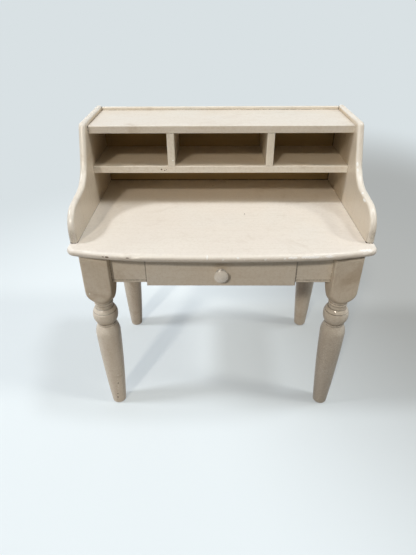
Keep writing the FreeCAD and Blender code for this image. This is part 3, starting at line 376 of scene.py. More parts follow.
@dataclass(frozen=True)
class Paint(Finish):
    """Brushed cream paint over pine: satin, streaked, chipped along its edges and rubbed pale there, a pale that also
    paints their highlight.

    Attributes:
        sheen: How strongly it mirrors.
        gloss: How rough it is, where 0 is a mirror.
        relief: How strongly its brush marks stand out.
        polish: How much clear coat lies on it, up to a height.
        polish_top: That height, in metres.
    """

    kind: ClassVar[str] = "paint"
    coat_roughness: ClassVar[float] = 0.12
    cream: Colour = tone(236, 229, 216)
    warm: Colour = tone(233, 224, 209)
    cool: Colour = tone(233, 229, 220)
    streak: Colour = tone(206, 191, 168)
    grime: Colour = tone(176, 156, 130)
    seam_and_shade: Colour = tone(56, 40, 28)
    rubbed_and_highlight: Colour = tone(246, 242, 233)
    ground: Colour = tone(255, 254, 250)
    timber: Colour = tone(92, 68, 48)
    # colour of the painted shade in recesses
    shade_brown: Colour = tone(164, 130, 62)
    sheen: float = 0.5
    gloss: float = 0.31
    relief: float = 0.18
    polish: float = 0.0
    polish_top: float = 0.0

    def make(self, piece: str, grain: Grain, joints: Sequence[DarkBand] = (), chips: Sequence[Chip] = (),
             worn: float = 0.5, soiled: float = 0.3, dusts: Sequence[PaintedShade] = ()) -> bpy.types.Material:
        """Make the paint of one piece.

        Args:
            piece: The piece's name.
            grain: The way the brush ran.
            joints: Dark bands of grime at joints, and of painted shade in creases and low on pieces.
            chips: Spots where the paint has gone.
            worn: How far the rounded edges are rubbed pale and chipped; the pale also paints the highlight that
                rounded edges catch.
            soiled: How strong the smudges are.
            dusts: Faces given painted shade, a brown tint for the shade in recesses.

        Returns:
            The material.
        """
        material, sheet = self.start(piece)
        at = sheet.place()
        normal, places = at.other("Normal"), sheet.parts(at)
        edge = sheet.smooth(1 - sheet.largest(*map(abs, sheet.parts(normal))), 0.02, 0.22)

        long = sheet.noise(at, grain.stretch(5, 95), 3, 0.6, 0.25)
        brush = sheet.noise(at, grain.stretch(16, 620), 2, 0.5)
        cloud = sheet.noise(at, 5.5, 4, 0.55, 0.4)
        speck = sheet.noise(at, 210, 3, 0.6)
        smudge = sheet.smooth(sheet.noise(at, 9, 5, 0.6, 0.8), 0.54, 0.78)

        colour = sheet.coats(
            self.cream,
            (sheet.smooth(cloud, 0.35, 0.7), self.warm),
            (sheet.smooth(sheet.noise(at, 3.1, 2), 0.5, 0.75) * 0.6, self.cool),
            (sheet.smooth(long, 0.46, 0.80) * 0.2, self.streak),
            (sheet.smooth(brush, 0.5, 0.8) * 0.12, self.streak),
            (sheet.smooth(sheet.noise(at, 105, 4, 0.75), 0.42, 0.72) * 0.34, self.streak),
            (smudge * soiled, self.grime),
            # painted shade: a brown tint on recessed faces, standing for the shade there
            *((dust.mask(sheet, normal, places[Y]), self.shade_brown) for dust in dusts),
            # pale rounded edges: rubbed wear, and a painted highlight along them
            (edge * sheet.smooth(cloud + speck * 0.3, 0.4, 0.75) * worn, self.rubbed_and_highlight))
        # dark bands: grime at joints, and painted shade in creases and low on pieces
        if joints:
            patches = sheet.smooth(speck * 0.6 + cloud * 0.4, 0.38, 0.52)
            band_darkness = sum((dark_band.mask(sheet, places, patches) for dark_band in joints), 0.0)
            colour = sheet.mix(sheet.math("MINIMUM", band_darkness, 0.95), colour, self.seam_and_shade)

        gone = sheet.smooth(sheet.noise(at, 85, 3, 0.65, 0.6), 0.69, 0.72) * edge * worn
        colour = sheet.mix(gone, colour, self.ground)
        for chip in chips:
            mask = chip.mask(sheet, at, speck, cloud)
            colour = sheet.mix(mask, colour, self.timber if chip.bare else self.ground)
            gone = sheet.largest(gone, mask)

        height = long * 0.25 + brush * 0.55 + speck * 0.12 - gone * 0.8
        rough = self.gloss + (brush - 0.5) * 0.16 + gone * 0.25 + smudge * 0.08
        sockets: dict[str, Any] = {
            "Base Color": colour, "Roughness": rough, "Normal": sheet.bump(height, self.relief, 0.0012),
            "Specular IOR Level": self.sheen}
        if self.polish:
            sockets["Coat Weight"] = sheet.smooth(places[Z], self.polish_top, self.polish_top - 0.03) * self.polish
            sockets["Coat Roughness"] = self.coat_roughness
        self.close(sheet, sockets)
        return material


@dataclass(frozen=True)
class Timber(Finish):
    """Planed softwood with rings, fine pores and a dry surface."""

    early: Colour = tone(222, 190, 145)
    late: Colour = tone(186, 142, 92)
    pore: Colour = tone(140, 100, 60)
    ring_grime_and_shade: float = 46.0
    kind: str = "pine"

    def make(self, piece: str, grain: Grain) -> bpy.types.Material:
        """Make the bare wood of one piece.

        Args:
            piece: The piece's name.
            grain: The way the grain runs.

        Returns:
            The material.
        """
        material, sheet = self.start(piece)
        at = sheet.place()
        bend = sheet.noise(at, grain.stretch(1.2, 9), 3, 0.55, 0.3)
        x, y, z = sheet.parts(sheet.vector("MULTIPLY", at, grain.stretch(0.06, 1)))
        ring = sheet.math("FRACT", (x + y * 0.7 + z * 0.8) * self.ring_grime_and_shade + bend * 5)
        band = sheet.smooth(ring, 0.15, 0.9) * sheet.smooth(ring, 1.0, 0.93)
        pores = sheet.noise(at, grain.stretch(24, 900), 2, 0.6)
        colour = sheet.coats(
            self.early, (band * 0.8, self.late), (sheet.smooth(pores, 0.55, 0.8) * 0.35, self.pore),
            (sheet.smooth(sheet.noise(at, 6, 3), 0.45, 0.75) * 0.3, self.late))
        bump = sheet.bump(band * 0.3 + pores * 0.7, 0.2, 0.0006)
        self.close(sheet, {"Base Color": colour, "Roughness": 0.62 + (pores - 0.5) * 0.2, "Normal": bump})
        return material


@dataclass(frozen=True)
class Steel(Finish):
    """Plated screws, dulled and a little tarnished."""

    kind: ClassVar[str] = "steel"
    bright: Colour = tone(190, 189, 186)
    dull: Colour = tone(128, 122, 112)

    def make(self, piece: str) -> bpy.types.Material:
        """Make the plating of one piece.

        Args:
            piece: The piece's name.

        Returns:
            The material.
        """
        material, sheet = self.start(piece)
        at = sheet.place()
        stain = sheet.noise(at, 420, 4, 0.6)
        colour = sheet.mix(sheet.smooth(stain, 0.42, 0.7), self.bright, self.dull)
        bump = sheet.bump(sheet.noise(at, (300.0, 2600.0, 700.0), 2), 0.15, 0.0002)
        self.close(sheet, {"Base Color": colour, "Metallic": 1.0, "Roughness": 0.3 + stain * 0.3, "Normal": bump})
        return material


@dataclass(frozen=True)
class GapShadow(Finish):
    """Painted shadow: a dark finish for a strip laid where the gap under the back is in shade, broken by paler
    flecks.
    """

    kind: ClassVar[str] = "gap_shadow"
    dark: Colour = tone(64, 48, 40)
    pale_fleck: Colour = tone(150, 126, 98)

    def make(self, piece: str) -> bpy.types.Material:
        """Make the painted shadow of one piece.

        Args:
            piece: The piece's name.

        Returns:
            The material.
        """
        material, sheet = self.start(piece)
        lumps = sheet.noise(sheet.place(), (26.0, 160.0, 160.0), 3, 0.6)
        colour = sheet.mix(sheet.smooth(lumps, 0.50, 0.64), self.dark, self.pale_fleck)
        self.close(sheet, {"Base Color": colour, "Roughness": 0.9, "Specular IOR Level": 0.05})
        return material


class Tree:
    """A geometry tree with named inputs, run on points to give a plain mesh."""

    def __init__(self, name: str, inputs: Sequence[tuple[str, str]]) -> None:
        """Make an empty tree.

        Args:
            name: The tree's name.
            inputs: Name and socket type of each input after the mesh.
        """
        self.tree = bpy.data.node_groups.new(name, "GeometryNodeTree")
        self.tree.is_modifier = True
        self.sheet = Sheet(self.tree)
        self.ids: dict[str, str] = {}
        for label, kind in (("Mesh", "NodeSocketGeometry"), *inputs, ("Material", "NodeSocketMaterial")):
            item = self.tree.interface.new_socket(label, in_out="INPUT", socket_type=kind)
            self.ids[label] = item.identifier
        self.tree.interface.new_socket("Mesh", in_out="OUTPUT", socket_type="NodeSocketGeometry")
        self.inlet = self.sheet.add("NodeGroupInput")

    def close(self, shape: Shade) -> None:
        """Lead a shape to the tree's end, realised and with its material."""
        whole = self.sheet.add("GeometryNodeRealizeInstances", {}, {"Geometry": shape})
        self.sheet.end("NodeGroupOutput", self.sheet.add(
            "GeometryNodeSetMaterial", {}, {"Geometry": whole, "Material": self.inlet.other("Material")}))

    def run(self, name: str, points: Sequence[Point], chained: bool, values: dict[str, Any],
            place: Matrix) -> bpy.types.Object:
        """Run the tree and keep its result as a plain piece.

        Args:
            name: The piece's name.
            points: Points that the tree starts from.
            chained: True where the points are a line and not separate spots.
            values: The tree's inputs by name.
            place: Where the result goes.

        Returns:
            The piece, at the origin, with its place in its mesh.
        """
        seed = bpy.data.meshes.new(name + "_points")
        edges = [(i, i + 1) for i in range(len(points) - 1)] if chained else []
        seed.from_pydata(points, edges, [])
        source = link(name + "_source", seed)
        modifier = source.modifiers.new("shape", "NODES")
        modifier.node_group = self.tree
        for label, value in values.items():
            modifier[self.ids[label]] = value
        graph = bpy.context.evaluated_depsgraph_get()
        plain = bpy.data.meshes.new_from_object(source.evaluated_get(graph))
        bpy.data.objects.remove(source)
        bpy.data.meshes.remove(seed)
        plain.name = name
        plain.transform(place)
        shell = bmesh.new()
        shell.from_mesh(plain)
        bmesh.ops.recalc_face_normals(shell, faces=shell.faces)
        shell.to_mesh(plain)
        shell.free()
        return link(name, plain)


class TurnedTree(Tree):
    """Turns an outline about Z, and holds it inside a square block where it is wider."""

    def __init__(self) -> None:
        """Build the tree."""
        super().__init__("turned_piece", (
            ("Segments", "NodeSocketInt"), ("Half block", "NodeSocketFloat"), ("Squareness", "NodeSocketFloat"),
            ("Softness", "NodeSocketFloat"), ("Unevenness", "NodeSocketFloat"), ("Seed", "NodeSocketFloat")))
        sheet, inlet = self.sheet, self.inlet
        outline, segments = inlet.other("Mesh"), inlet.other("Segments")
        count = sheet.add("GeometryNodeAttributeDomainSize", {"component": "MESH"}, {0: outline})
        grid = sheet.add("GeometryNodeMeshGrid", {}, {"Vertices X": segments + 1, "Vertices Y": count})
        index = sheet.add("GeometryNodeInputIndex")
        segment = sheet.math("FLOOR", (index + 0.5) / count)
        chain = sheet.add("GeometryNodeSampleIndex", {"data_type": "FLOAT_VECTOR", "domain": "POINT"},
                          {"Geometry": outline, "Value": sheet.add("GeometryNodeInputPosition"),
                           "Index": index - segment * count})
        width, _, height = sheet.parts(chain)
        even = segment * math.tau / segments
        angle = even + sheet.math("SINE", even * 4) * 0.2
        cosine, sine = sheet.math("COSINE", angle), sheet.math("SINE", angle)
        power = inlet.other("Squareness")
        spread = (abs(cosine) ** power + abs(sine) ** power) ** (1 / power)
        block = inlet.other("Half block") / spread
        radius = sheet.math("SMOOTH_MIN", width, block, inlet.other("Softness"))
        rough_at = sheet.join(radius * cosine, radius * sine, height + inlet.other("Seed"))
        swell = (sheet.noise(rough_at, 22, 2) - 0.5) * inlet.other("Unevenness")
        radius = radius + swell * sheet.smooth(radius, 0.0, 0.012)
        turned = sheet.add("GeometryNodeSetPosition", {}, {
            "Geometry": grid, "Position": sheet.join(radius * cosine, radius * sine, height)})
        closed = sheet.add("GeometryNodeMergeByDistance", {}, {"Geometry": turned, "Distance": 0.00002})
        self.close(sheet.add("GeometryNodeSetShadeSmooth", {}, {"Geometry": closed}))


@dataclass(frozen=True)
class Screw:
    """Sizes of a wood screw, in metres."""

    length: float
    shank_radius: float
    slot: float
    head_radius: float = 0.0044
    head_thick: float = 0.0026


class ScrewTree(Tree):
    """Puts a slotted wood screw at every point, head down, each turned its own way."""

    def __init__(self) -> None:
        """Build the tree."""
        super().__init__("slotted_screws", (
            ("Head radius", "NodeSocketFloat"), ("Head thickness", "NodeSocketFloat"),
            ("Shank radius", "NodeSocketFloat"), ("Length", "NodeSocketFloat"),
            ("Slot width", "NodeSocketFloat"), ("Seed", "NodeSocketInt")))
        sheet, inlet = self.sheet, self.inlet
        head_radius, thick = inlet.other("Head radius"), inlet.other("Head thickness")
        length = inlet.other("Length")
        head = self.shift(sheet.add("GeometryNodeMeshCone", {"fill_type": "NGON"}, {
            "Vertices": 32, "Side Segments": 1, "Fill Segments": 1, "Radius Top": head_radius,
            "Radius Bottom": head_radius * 0.72, "Depth": thick}), -1 * thick)
        slot = self.shift(sheet.add("GeometryNodeMeshCube", {}, {
            "Size": sheet.join(head_radius * 3, inlet.other("Slot width"), thick)}), -1 * thick)
        cut = sheet.add("GeometryNodeMeshBoolean", {"operation": "DIFFERENCE", "solver": "EXACT"},
                        {"Mesh 1": head, "Mesh 2": slot})
        shank = self.shift(sheet.add("GeometryNodeMeshCylinder", {"fill_type": "NGON"}, {
            "Vertices": 20, "Radius": inlet.other("Shank radius"), "Depth": length}), length * 0.5 - 0.0002)
        whole = sheet.add("GeometryNodeJoinGeometry", {}, {"Geometry": cut})
        sheet.tree.links.new(shank.socket, whole.socket.node.inputs["Geometry"])
        turn = sheet.add("FunctionNodeRandomValue", {"data_type": "FLOAT"},
                         {2: 0.0, 3: math.pi, "Seed": inlet.other("Seed")}, 1)
        self.close(sheet.add("GeometryNodeInstanceOnPoints", {}, {
            "Points": inlet.other("Mesh"), "Instance": whole, "Rotation": sheet.join(0.0, 0.0, turn)}))

    def shift(self, shape: Shade, rise: Shade) -> Shade:
        """Move a shape along Z."""
        return self.sheet.add("GeometryNodeTransform", {}, {
            "Geometry": shape, "Translation": self.sheet.join(0.0, 0.0, rise)})

    def drive(self, node: str, body: str, screw: Screw, spots: Sequence[Point], seed: int, place: Matrix,
              steel: Steel) -> None:
        """Make one set of screws and let it stand for its node.

        Args:
            node: The node.
            body: The body that it rides on.
            screw: The sizes of a screw.
            spots: Where the screws are.
            seed: Start of the random turns of their slots.
            place: Where the whole set goes.
            steel: Their finish.
        """
        piece = self.run(f"slotted_{node}", spots, False, {
            "Head radius": screw.head_radius, "Head thickness": screw.head_thick, "Shank radius": screw.shank_radius,
            "Length": screw.length, "Slot width": screw.slot, "Seed": seed, "Material": steel.make(node)}, place)
        settle(piece, node, body)


class Outline:
    """Half outline of a turning: pairs of radius and height, foot first."""

    def __init__(self, radius: float, height: float) -> None:
        """Start at a point."""
        self.pairs = [(radius, height)]

    def line(self, radius: float, height: float, step: float = 0.0012) -> None:
        """Go straight on to a point.

        Args:
            radius: Radius there.
            height: Height there.
            step: Longest piece of the line.
        """
        start = self.pairs[-1]
        count = max(1, math.ceil(math.dist(start, (radius, height)) / step))
        for i in range(1, count + 1):
            part = i / count
            self.pairs.append((start[0] + (radius - start[0]) * part, start[1] + (height - start[1]) * part))

    def arc(self, radius: float, height: float, curve: float, hollow: bool = False, step: float = 0.0012) -> None:
        """Go on to a point along an arc.

        Args:
            radius: Radius at its end.
            height: Height at its end.
            curve: The arc's own radius.
            hollow: True where it sinks towards the axis.
            step: Longest piece of the arc.
        """
        start, end = Vector(self.pairs[-1]), Vector((radius, height))
        chord = end - start
        side = Vector((chord.y, -chord.x)).normalized()
        drop = math.sqrt(max(0.0, curve * curve - chord.length_squared / 4))
        centre = (start + end) / 2 + side * (drop if hollow else -drop)
        first = math.atan2(*(start - centre).yx)
        sweep = math.atan2(*(end - centre).yx) - first
        sweep = (sweep + math.pi) % math.tau - math.pi
        count = max(2, math.ceil(abs(sweep) * curve / step))
        for i in range(1, count + 1):
            angle = first + sweep * i / count
            self.pairs.append((centre.x + curve * math.cos(angle), centre.y + curve * math.sin(angle)))

    def soften(self, passes: int) -> None:
        """Round the corners a little, as coats of paint do.

        Args:
            passes: How often each point is drawn towards its neighbours.
        """
        for _ in range(passes):
            inner = zip(self.pairs, self.pairs[1:-1], self.pairs[2:])
            eased = [tuple((a[k] + 2 * b[k] + c[k]) / 4 for k in (0, 1)) for a, b, c in inner]
            self.pairs = [self.pairs[0], *eased, self.pairs[-1]]

    def points(self) -> list[Point]:
        """The outline as points above the X axis."""
        return [(max(0.0, radius), 0.0, height) for radius, height in self.pairs]


def swell_radius(chord: float, swell: float) -> float:
    """Radius of an arc from its chord and its height over the chord."""
    return (chord * chord / 4 + swell * swell) / (2 * swell)


def upright_radius(run: float, rise: float) -> float:
    """Radius of an arc that ends upright after a run sideways and a rise."""
    return (run * run + rise * rise) / (2 * run)


def middle(node: str) -> Vector:
    """Middle of a node's box."""
    low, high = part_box(node)
    return (Vector(low) + Vector(high)) / 2


def link(name: str, data: bpy.types.ID) -> bpy.types.Object:
    """Put a mesh, a lamp or a camera into the scene.

    Args:
        name: The object's name.
        data: What it shows.

    Returns:
        The object.
    """
    thing = bpy.data.objects.new(name, data)
    bpy.context.scene.collection.objects.link(thing)
    return thing


def settle(piece: bpy.types.Object, node: str, body: str) -> None:
    """Let a piece stand for a node.

    Args:
        piece: The finished piece.
        node: The node that it stands for.
        body: The body that it rides on.
    """
    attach(piece, body)
    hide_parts(node)
    log.info("made %s: %d faces for %s", piece.name, len(piece.data.polygons), node)


@dataclass
class Top:
    """The bow-front board."""

    paint: Paint
    panel_inner: float = 0.4675
    panel_front: float = -0.2485
    back_face: float = 0.3265
    rear: float = 0.3315
    slit_heights: tuple[float, float] = (0.7475, 0.7600)
    marks: tuple[Chip, ...] = (
        Chip((-0.3597, -0.3155, 0.7386), (0.0058, 0.006, 0.0027), True, 0.8),
        Chip((-0.3718, -0.3136, 0.7386), (0.0045, 0.006, 0.0014), True, 0.8),
        Chip((-0.2935, -0.3224, 0.7395), (0.0055, 0.006, 0.0012), True),
        Chip((-0.0450, -0.3280, 0.7450), (0.0026, 0.008, 0.0080), False, 1.0),
        Chip((0.0045, -0.3312, 0.7385), (0.0040, 0.006, 0.0026)),
        Chip((0.0500, -0.3292, 0.7435), (0.0044, 0.006, 0.0030)),
        Chip((0.0700, -0.3300, 0.7375), (0.0026, 0.006, 0.0020)),
        Chip((0.1350, -0.3298, 0.7375), (0.0042, 0.006, 0.0034)),
        Chip((0.1955, -0.3274, 0.7400), (0.0040, 0.006, 0.0026)),
        Chip((0.2200, -0.3270, 0.7422), (0.0135, 0.007, 0.0036), False, 2.4),
        Chip((0.2800, -0.3244, 0.7428), (0.0370, 0.008, 0.0038), False, 1.8),
        Chip((0.3350, -0.3189, 0.7428), (0.0140, 0.008, 0.0048), False, 2.2),
        Chip((0.4480, -0.2905, 0.7485), (0.0150, 0.006, 0.0034), False, 2.6),
        Chip((0.4660, -0.2880, 0.7480), (0.0085, 0.006, 0.0040), False, 2.6),
        Chip((0.0243, 0.2995, 0.7500), (0.0022, 0.003, 0.0020), True),
        Chip((-0.0270, 0.2560, 0.7500), (0.0020, 0.003, 0.0020), True),
        Chip((0.0882, -0.0227, 0.7500), (0.0020, 0.003, 0.0020), True),
    )

    def build(self) -> None:
        """Dress the board."""
        ends = (self.panel_front, self.rear)
        joints = (*(DarkBand(X, sign * self.panel_inner, 0.45, 0.0022, Y, ends) for sign in SIDES.values()),
                  DarkBand(Y, self.back_face, 0.40, 0.0050, Z, self.slit_heights))
        # painted light: a paler copy of the paint lifts the desktop, which the hutch shades from part of the sky
        desk_paint_lit = replace(self.paint, cream=tone(240, 234, 224), warm=tone(238, 231, 221), cool=tone(238, 235, 228),
                        streak=tone(217, 208, 193), grime=tone(194, 180, 160))
        desk_paint_lit.dress("desktop", Grain.ACROSS, joints, self.marks, worn=0.45, soiled=0.25,
                    # painted shade: brown tint on the desktop's top from under the shelves back
                    dusts=(PaintedShade((0.0, 0.0, 1.0), 0.30),))


@dataclass
class Hutch:
    """The gallery on the top: two shaped ends, two shelves, two dividers, a back and a rail."""

    paint: Paint
    panel_inner: float = 0.4675
    rail_face: float = 0.3185
    shelf_top: float = 1.041
    gap_play: float = 0.003
    gap_front: float = 0.0010
    gap_rear: float = 0.0006
    gap_skin: float = 0.0001
    foot: tuple[DarkBand, ...] = (
        DarkBand(Z, 0.7502, 0.5, 0.0014),
        DarkBand(Z, 0.7512, 0.95, 0.0034, Y, (-0.250, -0.232)),
        DarkBand(Z, 0.7700, 0.28, 0.0360, Y, (-0.250, -0.237)),
    )
    # strength of the painted shade on each end's inner face: deep at the back, and all over
    inner_shade: ClassVar[dict[str, tuple[float, float]]] = {"left": (0.36, 0.22), "right": (0.28, 0.26)}
    end_marks: ClassVar[dict[str, tuple[Chip, ...]]] = {
        "left": (Chip((-0.474, -0.120, 0.858), (0.005, 0.010, 0.004), False, 2.4),),
        "right": (
            Chip((0.4735, -0.004, 0.930), (0.0030, 0.012, 0.0080), False, 2.2),
            Chip((0.4740, -0.014, 0.913), (0.0030, 0.012, 0.0060), False, 2.6),
            Chip((0.4725, -0.112, 0.867), (0.0036, 0.006, 0.0036)),
            Chip((0.4690, -0.150, 0.857), (0.0030, 0.014, 0.0036), False, 2.6),
        ),
    }
    shelf_marks: tuple[Chip, ...] = (
        Chip((-0.2165, 0.0735, 0.8845), (0.0036, 0.004, 0.0026), True),
        Chip((-0.2050, 0.0735, 0.8812), (0.0022, 0.004, 0.0018), True),
        Chip((-0.1985, 0.0735, 0.8835), (0.0016, 0.004, 0.0014), True),
    )
    divider_marks: ClassVar[dict[str, tuple[Chip, ...]]] = {
        "left": (Chip((-0.1728, 0.0735, 0.9181), (0.0024, 0.004, 0.0030)),), "right": ()}

    def build(self) -> None:
        """Dress the boards and lay a dark strip of painted shadow in the gap under the back."""
        self.dress_ends()
        self.dress_shelves()
        self.dress_back()
        self.lay_gap_shadow()

    def dress_ends(self) -> None:
        """Dress the two shaped ends, with painted shade on their inner faces, stronger at the back than at the front.
        """
        smooth = replace(self.paint, streak=tone(222, 211, 195), relief=0.03, gloss=0.30)
        for side, sign in SIDES.items():
            inward, (rear, all_over) = (-float(sign), 0.0, 0.0), self.inner_shade[side]
            smooth.dress(f"side_panel_{side}", Grain.UP, self.foot, self.end_marks[side], worn=0.6,
                         # painted shade on the inner face
                         dusts=(PaintedShade(inward, rear), PaintedShade(inward, all_over, -0.60)))

    def dress_shelves(self) -> None:
        """Dress the two shelves and the dividers between them."""
        # painted shade: a darker copy of the paint tones down the top shelf's open top, which every lamp reaches
        shelf_paint_shaded = replace(self.paint, cream=tone(230, 223, 211), warm=tone(227, 218, 204), cool=tone(227, 223, 214))
        meeting = (DarkBand(X, -self.panel_inner, 0.9, 0.0034), DarkBand(X, self.panel_inner, 0.6, 0.0016),
                   DarkBand(Y, self.rail_face, 0.6, 0.0022))
        # strong pale edges on both shelves paint the highlight along their front edges as well as wear
        shelf_paint_shaded.dress("top_shelf", Grain.ACROSS, meeting, worn=0.8)
        tight = tuple(DarkBand(X, sign * self.panel_inner, 0.6) for sign in SIDES.values())
        self.paint.dress("middle_shelf", Grain.ACROSS, tight, self.shelf_marks, worn=0.8,
                         # painted shade: brown tint on the pigeonhole floors
                         dusts=(PaintedShade((0.0, 0.0, 1.0), 0.36, 0.03),))
        for side, marks in self.divider_marks.items():
            ends = tuple(DarkBand(Z, corner[Z], 0.5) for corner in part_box(f"divider_{side}"))
            self.paint.dress(f"divider_{side}", Grain.UP, ends, marks, worn=0.35,
                             # painted shade: brown tint on both faces of the divider
                             dusts=(PaintedShade((1.0, 0.0, 0.0), 0.30), PaintedShade((-1.0, 0.0, 0.0), 0.30)))

    def dress_back(self) -> None:
        """Dress the back, dull and with brown painted shade on its front, and the rail above it."""
        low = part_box("back_panel")[0]
        slit = (DarkBand(Z, low[Z], 0.45, 0.0030), DarkBand(X, self.panel_inner, 0.95, 0.0042),
                DarkBand(X, -self.panel_inner, 0.6, 0.0020))
        flat = replace(self.paint, sheen=0.0)
        # painted shade: strong brown tint on the back's front face
        flat.dress("back_panel", Grain.ACROSS, slit, worn=0.2, soiled=0.35, dusts=(PaintedShade((0.0, -1.0, 0.0), 0.85),))
        ends = (DarkBand(X, -self.panel_inner, 0.9, 0.0040), DarkBand(X, self.panel_inner, 0.9, 0.0030),
                DarkBand(Z, self.shelf_top, 0.7, 0.0014))
        self.paint.dress("gallery_rail", Grain.ACROSS, ends)

    def lay_gap_shadow(self) -> None:
        """Lay a dark strip in the gap under the back panel: painted shadow standing for the shade in the gap."""
        low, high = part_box("back_panel")
        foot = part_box("desktop")[1][Z]
        near = Vector((low[X] + self.gap_play, low[Y] + self.gap_front, foot + self.gap_skin))
        far = Vector((high[X] - self.gap_play, high[Y] - self.gap_rear, low[Z] - self.gap_skin))
        mesh = bpy.data.meshes.new("gap_shadow_strip")
        shell = bmesh.new()
        bmesh.ops.create_cube(shell, size=1.0, matrix=Matrix.LocRotScale((near + far) / 2, None, far - near))
        shell.to_mesh(mesh)
        shell.free()
        mesh.materials.append(GapShadow().make("gap"))
        piece = link("gap_shadow_strip", mesh)
        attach(piece, "desk")
        log.info("made %s: %d faces", piece.name, len(mesh.polygons))


@dataclass
class Legs:
    """Four turned legs with square blocks."""

    paint: Paint
    tree: TurnedTree
    foot_radius: float = 0.027
    foot_round: float = 0.005
    taper_height: float = 0.366
    taper_swell: float = 0.0026
    taper_radius: float = 0.0457
    vase_rise: float = 0.044
    quirk_radius: float = 0.033
    collar_radius: float = 0.0355
    collar_height: float = 0.008
    ball_height: float = 0.067
    ball_radius: float = 0.0455
    groove_rise: float = 0.0185
    groove_half: float = 0.0016
    groove_depth: float = 0.0024
    neck_radius: float = 0.0305
    neck_low: float = 0.013
    bead_height: float = 0.010
    bead_swell: float = 0.003
    neck_high: float = 0.006
    shoulder_rise: float = 0.071
    half_block: float = 0.046
    head: float = 0.724
    fine: float = 0.0008
    finest: float = 0.0006
    polish_top: float = 0.545
    kick_height: float = 0.10
    kick_reach: float = 0.50
    # darkening towards the foot of each leg: grime, and painted shade that makes the front right leg darkest
    kick_grime_and_shade: tuple[tuple[str, float], ...] = (
        ("front_left", 0.09), ("front_right", 0.34), ("rear_left", 0.16), ("rear_right", 0.08))
    dot_face: float = -0.2574
    dots: tuple[Point, ...] = (
        (-0.4012, 0.1673, 0.0020), (-0.4046, 0.146, 0.0014), (-0.4060, 0.121, 0.0024), (-0.4069, 0.104, 0.0016),
        (-0.4100, 0.088, 0.0012), (-0.4148, 0.058, 0.0022), (-0.4172, 0.0368, 0.0026))
    block_mark: Chip = Chip((-0.4500, -0.2715, 0.5668), (0.0022, 0.004, 0.0036))

    def outline(self) -> tuple[Outline, tuple[float, ...]]:
        """Draw the half outline of a leg.

        Returns:
            The outline from the middle of the foot to the middle of the head, and the heights of its sunk rings.
        """
        collar = self.taper_height + self.vase_rise
        ball = collar + self.collar_height
        neck = ball + self.ball_height
        bead = neck + self.neck_low
        bead_top = bead + self.bead_height
        shoulder = bead_top + self.neck_high
        block = shoulder + self.shoulder_rise
        corner = self.half_block * math.sqrt(2)
        centre = ball + self.ball_height / 2
        curve = swell_radius(self.ball_height, self.ball_radius - self.quirk_radius)
        groove = centre + self.groove_rise

        def ball_at(offset: float) -> float:
            """Radius of the ball at a height over its middle."""
            return self.ball_radius - curve + math.sqrt(curve * curve - offset * offset)

        slant = math.hypot(self.taper_radius - self.foot_radius, self.taper_height - self.foot_round)
        below, above = self.groove_rise - self.groove_half, self.groove_rise + self.groove_half
        shape = Outline(0.0, 0.0)
        shape.line(self.foot_radius - self.foot_round, 0.0, 0.011)
        shape.arc(self.foot_radius, self.foot_round, self.foot_round)
        shape.arc(self.taper_radius, self.taper_height, swell_radius(slant, self.taper_swell), step=0.005)
        shape.arc(self.quirk_radius, collar, upright_radius(self.taper_radius - self.quirk_radius, self.vase_rise))
        shape.line(self.collar_radius, collar, self.fine)
        shape.line(self.collar_radius, ball, self.fine)
        shape.line(self.quirk_radius, ball, self.fine)
        shape.arc(ball_at(below), centre + below, curve)
        shape.line(ball_at(self.groove_rise) - self.groove_depth, groove, self.finest)
        shape.line(ball_at(above), centre + above, self.finest)
        shape.arc(self.quirk_radius, neck, curve)
        shape.line(self.neck_radius, neck, self.fine)
        shape.line(self.neck_radius, bead)
        shape.arc(self.neck_radius, bead_top, swell_radius(self.bead_height, self.bead_swell), step=self.fine)
        shape.line(self.neck_radius, shoulder)
        shape.arc(corner, block, upright_radius(corner - self.neck_radius, self.shoulder_rise), step=0.0016)
        shape.soften(2)
        shape.line(corner, self.head, 0.035)
        shape.line(0.0, self.head, 0.04)
        return shape, (collar, ball, groove, neck, bead, bead_top)

    def build(self) -> None:
        """Turn the four legs and let them stand for their nodes."""
        shape, heights = self.outline()
        # dark lines at the turned rings and grooves: grime, and painted shade in the creases
        ring_grime_and_shade = tuple(DarkBand(Z, height, 0.45, 0.0022, broken=0.3) for height in heights)
        turned = replace(self.paint, sheen=0.0, relief=0.06, polish=0.5, polish_top=self.polish_top)
        for number, (name, grime) in enumerate(self.kick_grime_and_shade):
            node = f"leg_{name}"
            centre = middle(node)
            # dark band low on the leg: grime, and painted shade by the amount listed for the leg
            joints = (*ring_grime_and_shade, DarkBand(Z, self.kick_height, grime, self.kick_reach, broken=0.4))
            material = turned.make(node, Grain.UP, joints, self.marks(name), worn=0.0, soiled=0.5)
            piece = self.tree.run(f"turned_{node}", shape.points(), True, {
                "Segments": 128, "Half block": self.half_block, "Squareness": 27.0, "Softness": 0.007,
                "Unevenness": 0.0004, "Seed": float(number), "Material": material,
            }, Matrix.Translation((centre.x, centre.y, 0.0)))
            settle(piece, node, "desk")

    def marks(self, name: str) -> tuple[Chip, ...]:
        """Find the chips on one leg.

        Args:
            name: Where the leg stands.

        Returns:
            A row of dots and a mark on the block for the front left leg, and none for the others.
        """
        if name != "front_left":
            return ()
        dots = (Chip((x, self.dot_face, z), (size, 0.012, size * 1.3), size > 0.0021) for x, z, size in self.dots)
        return (*dots, self.block_mark)


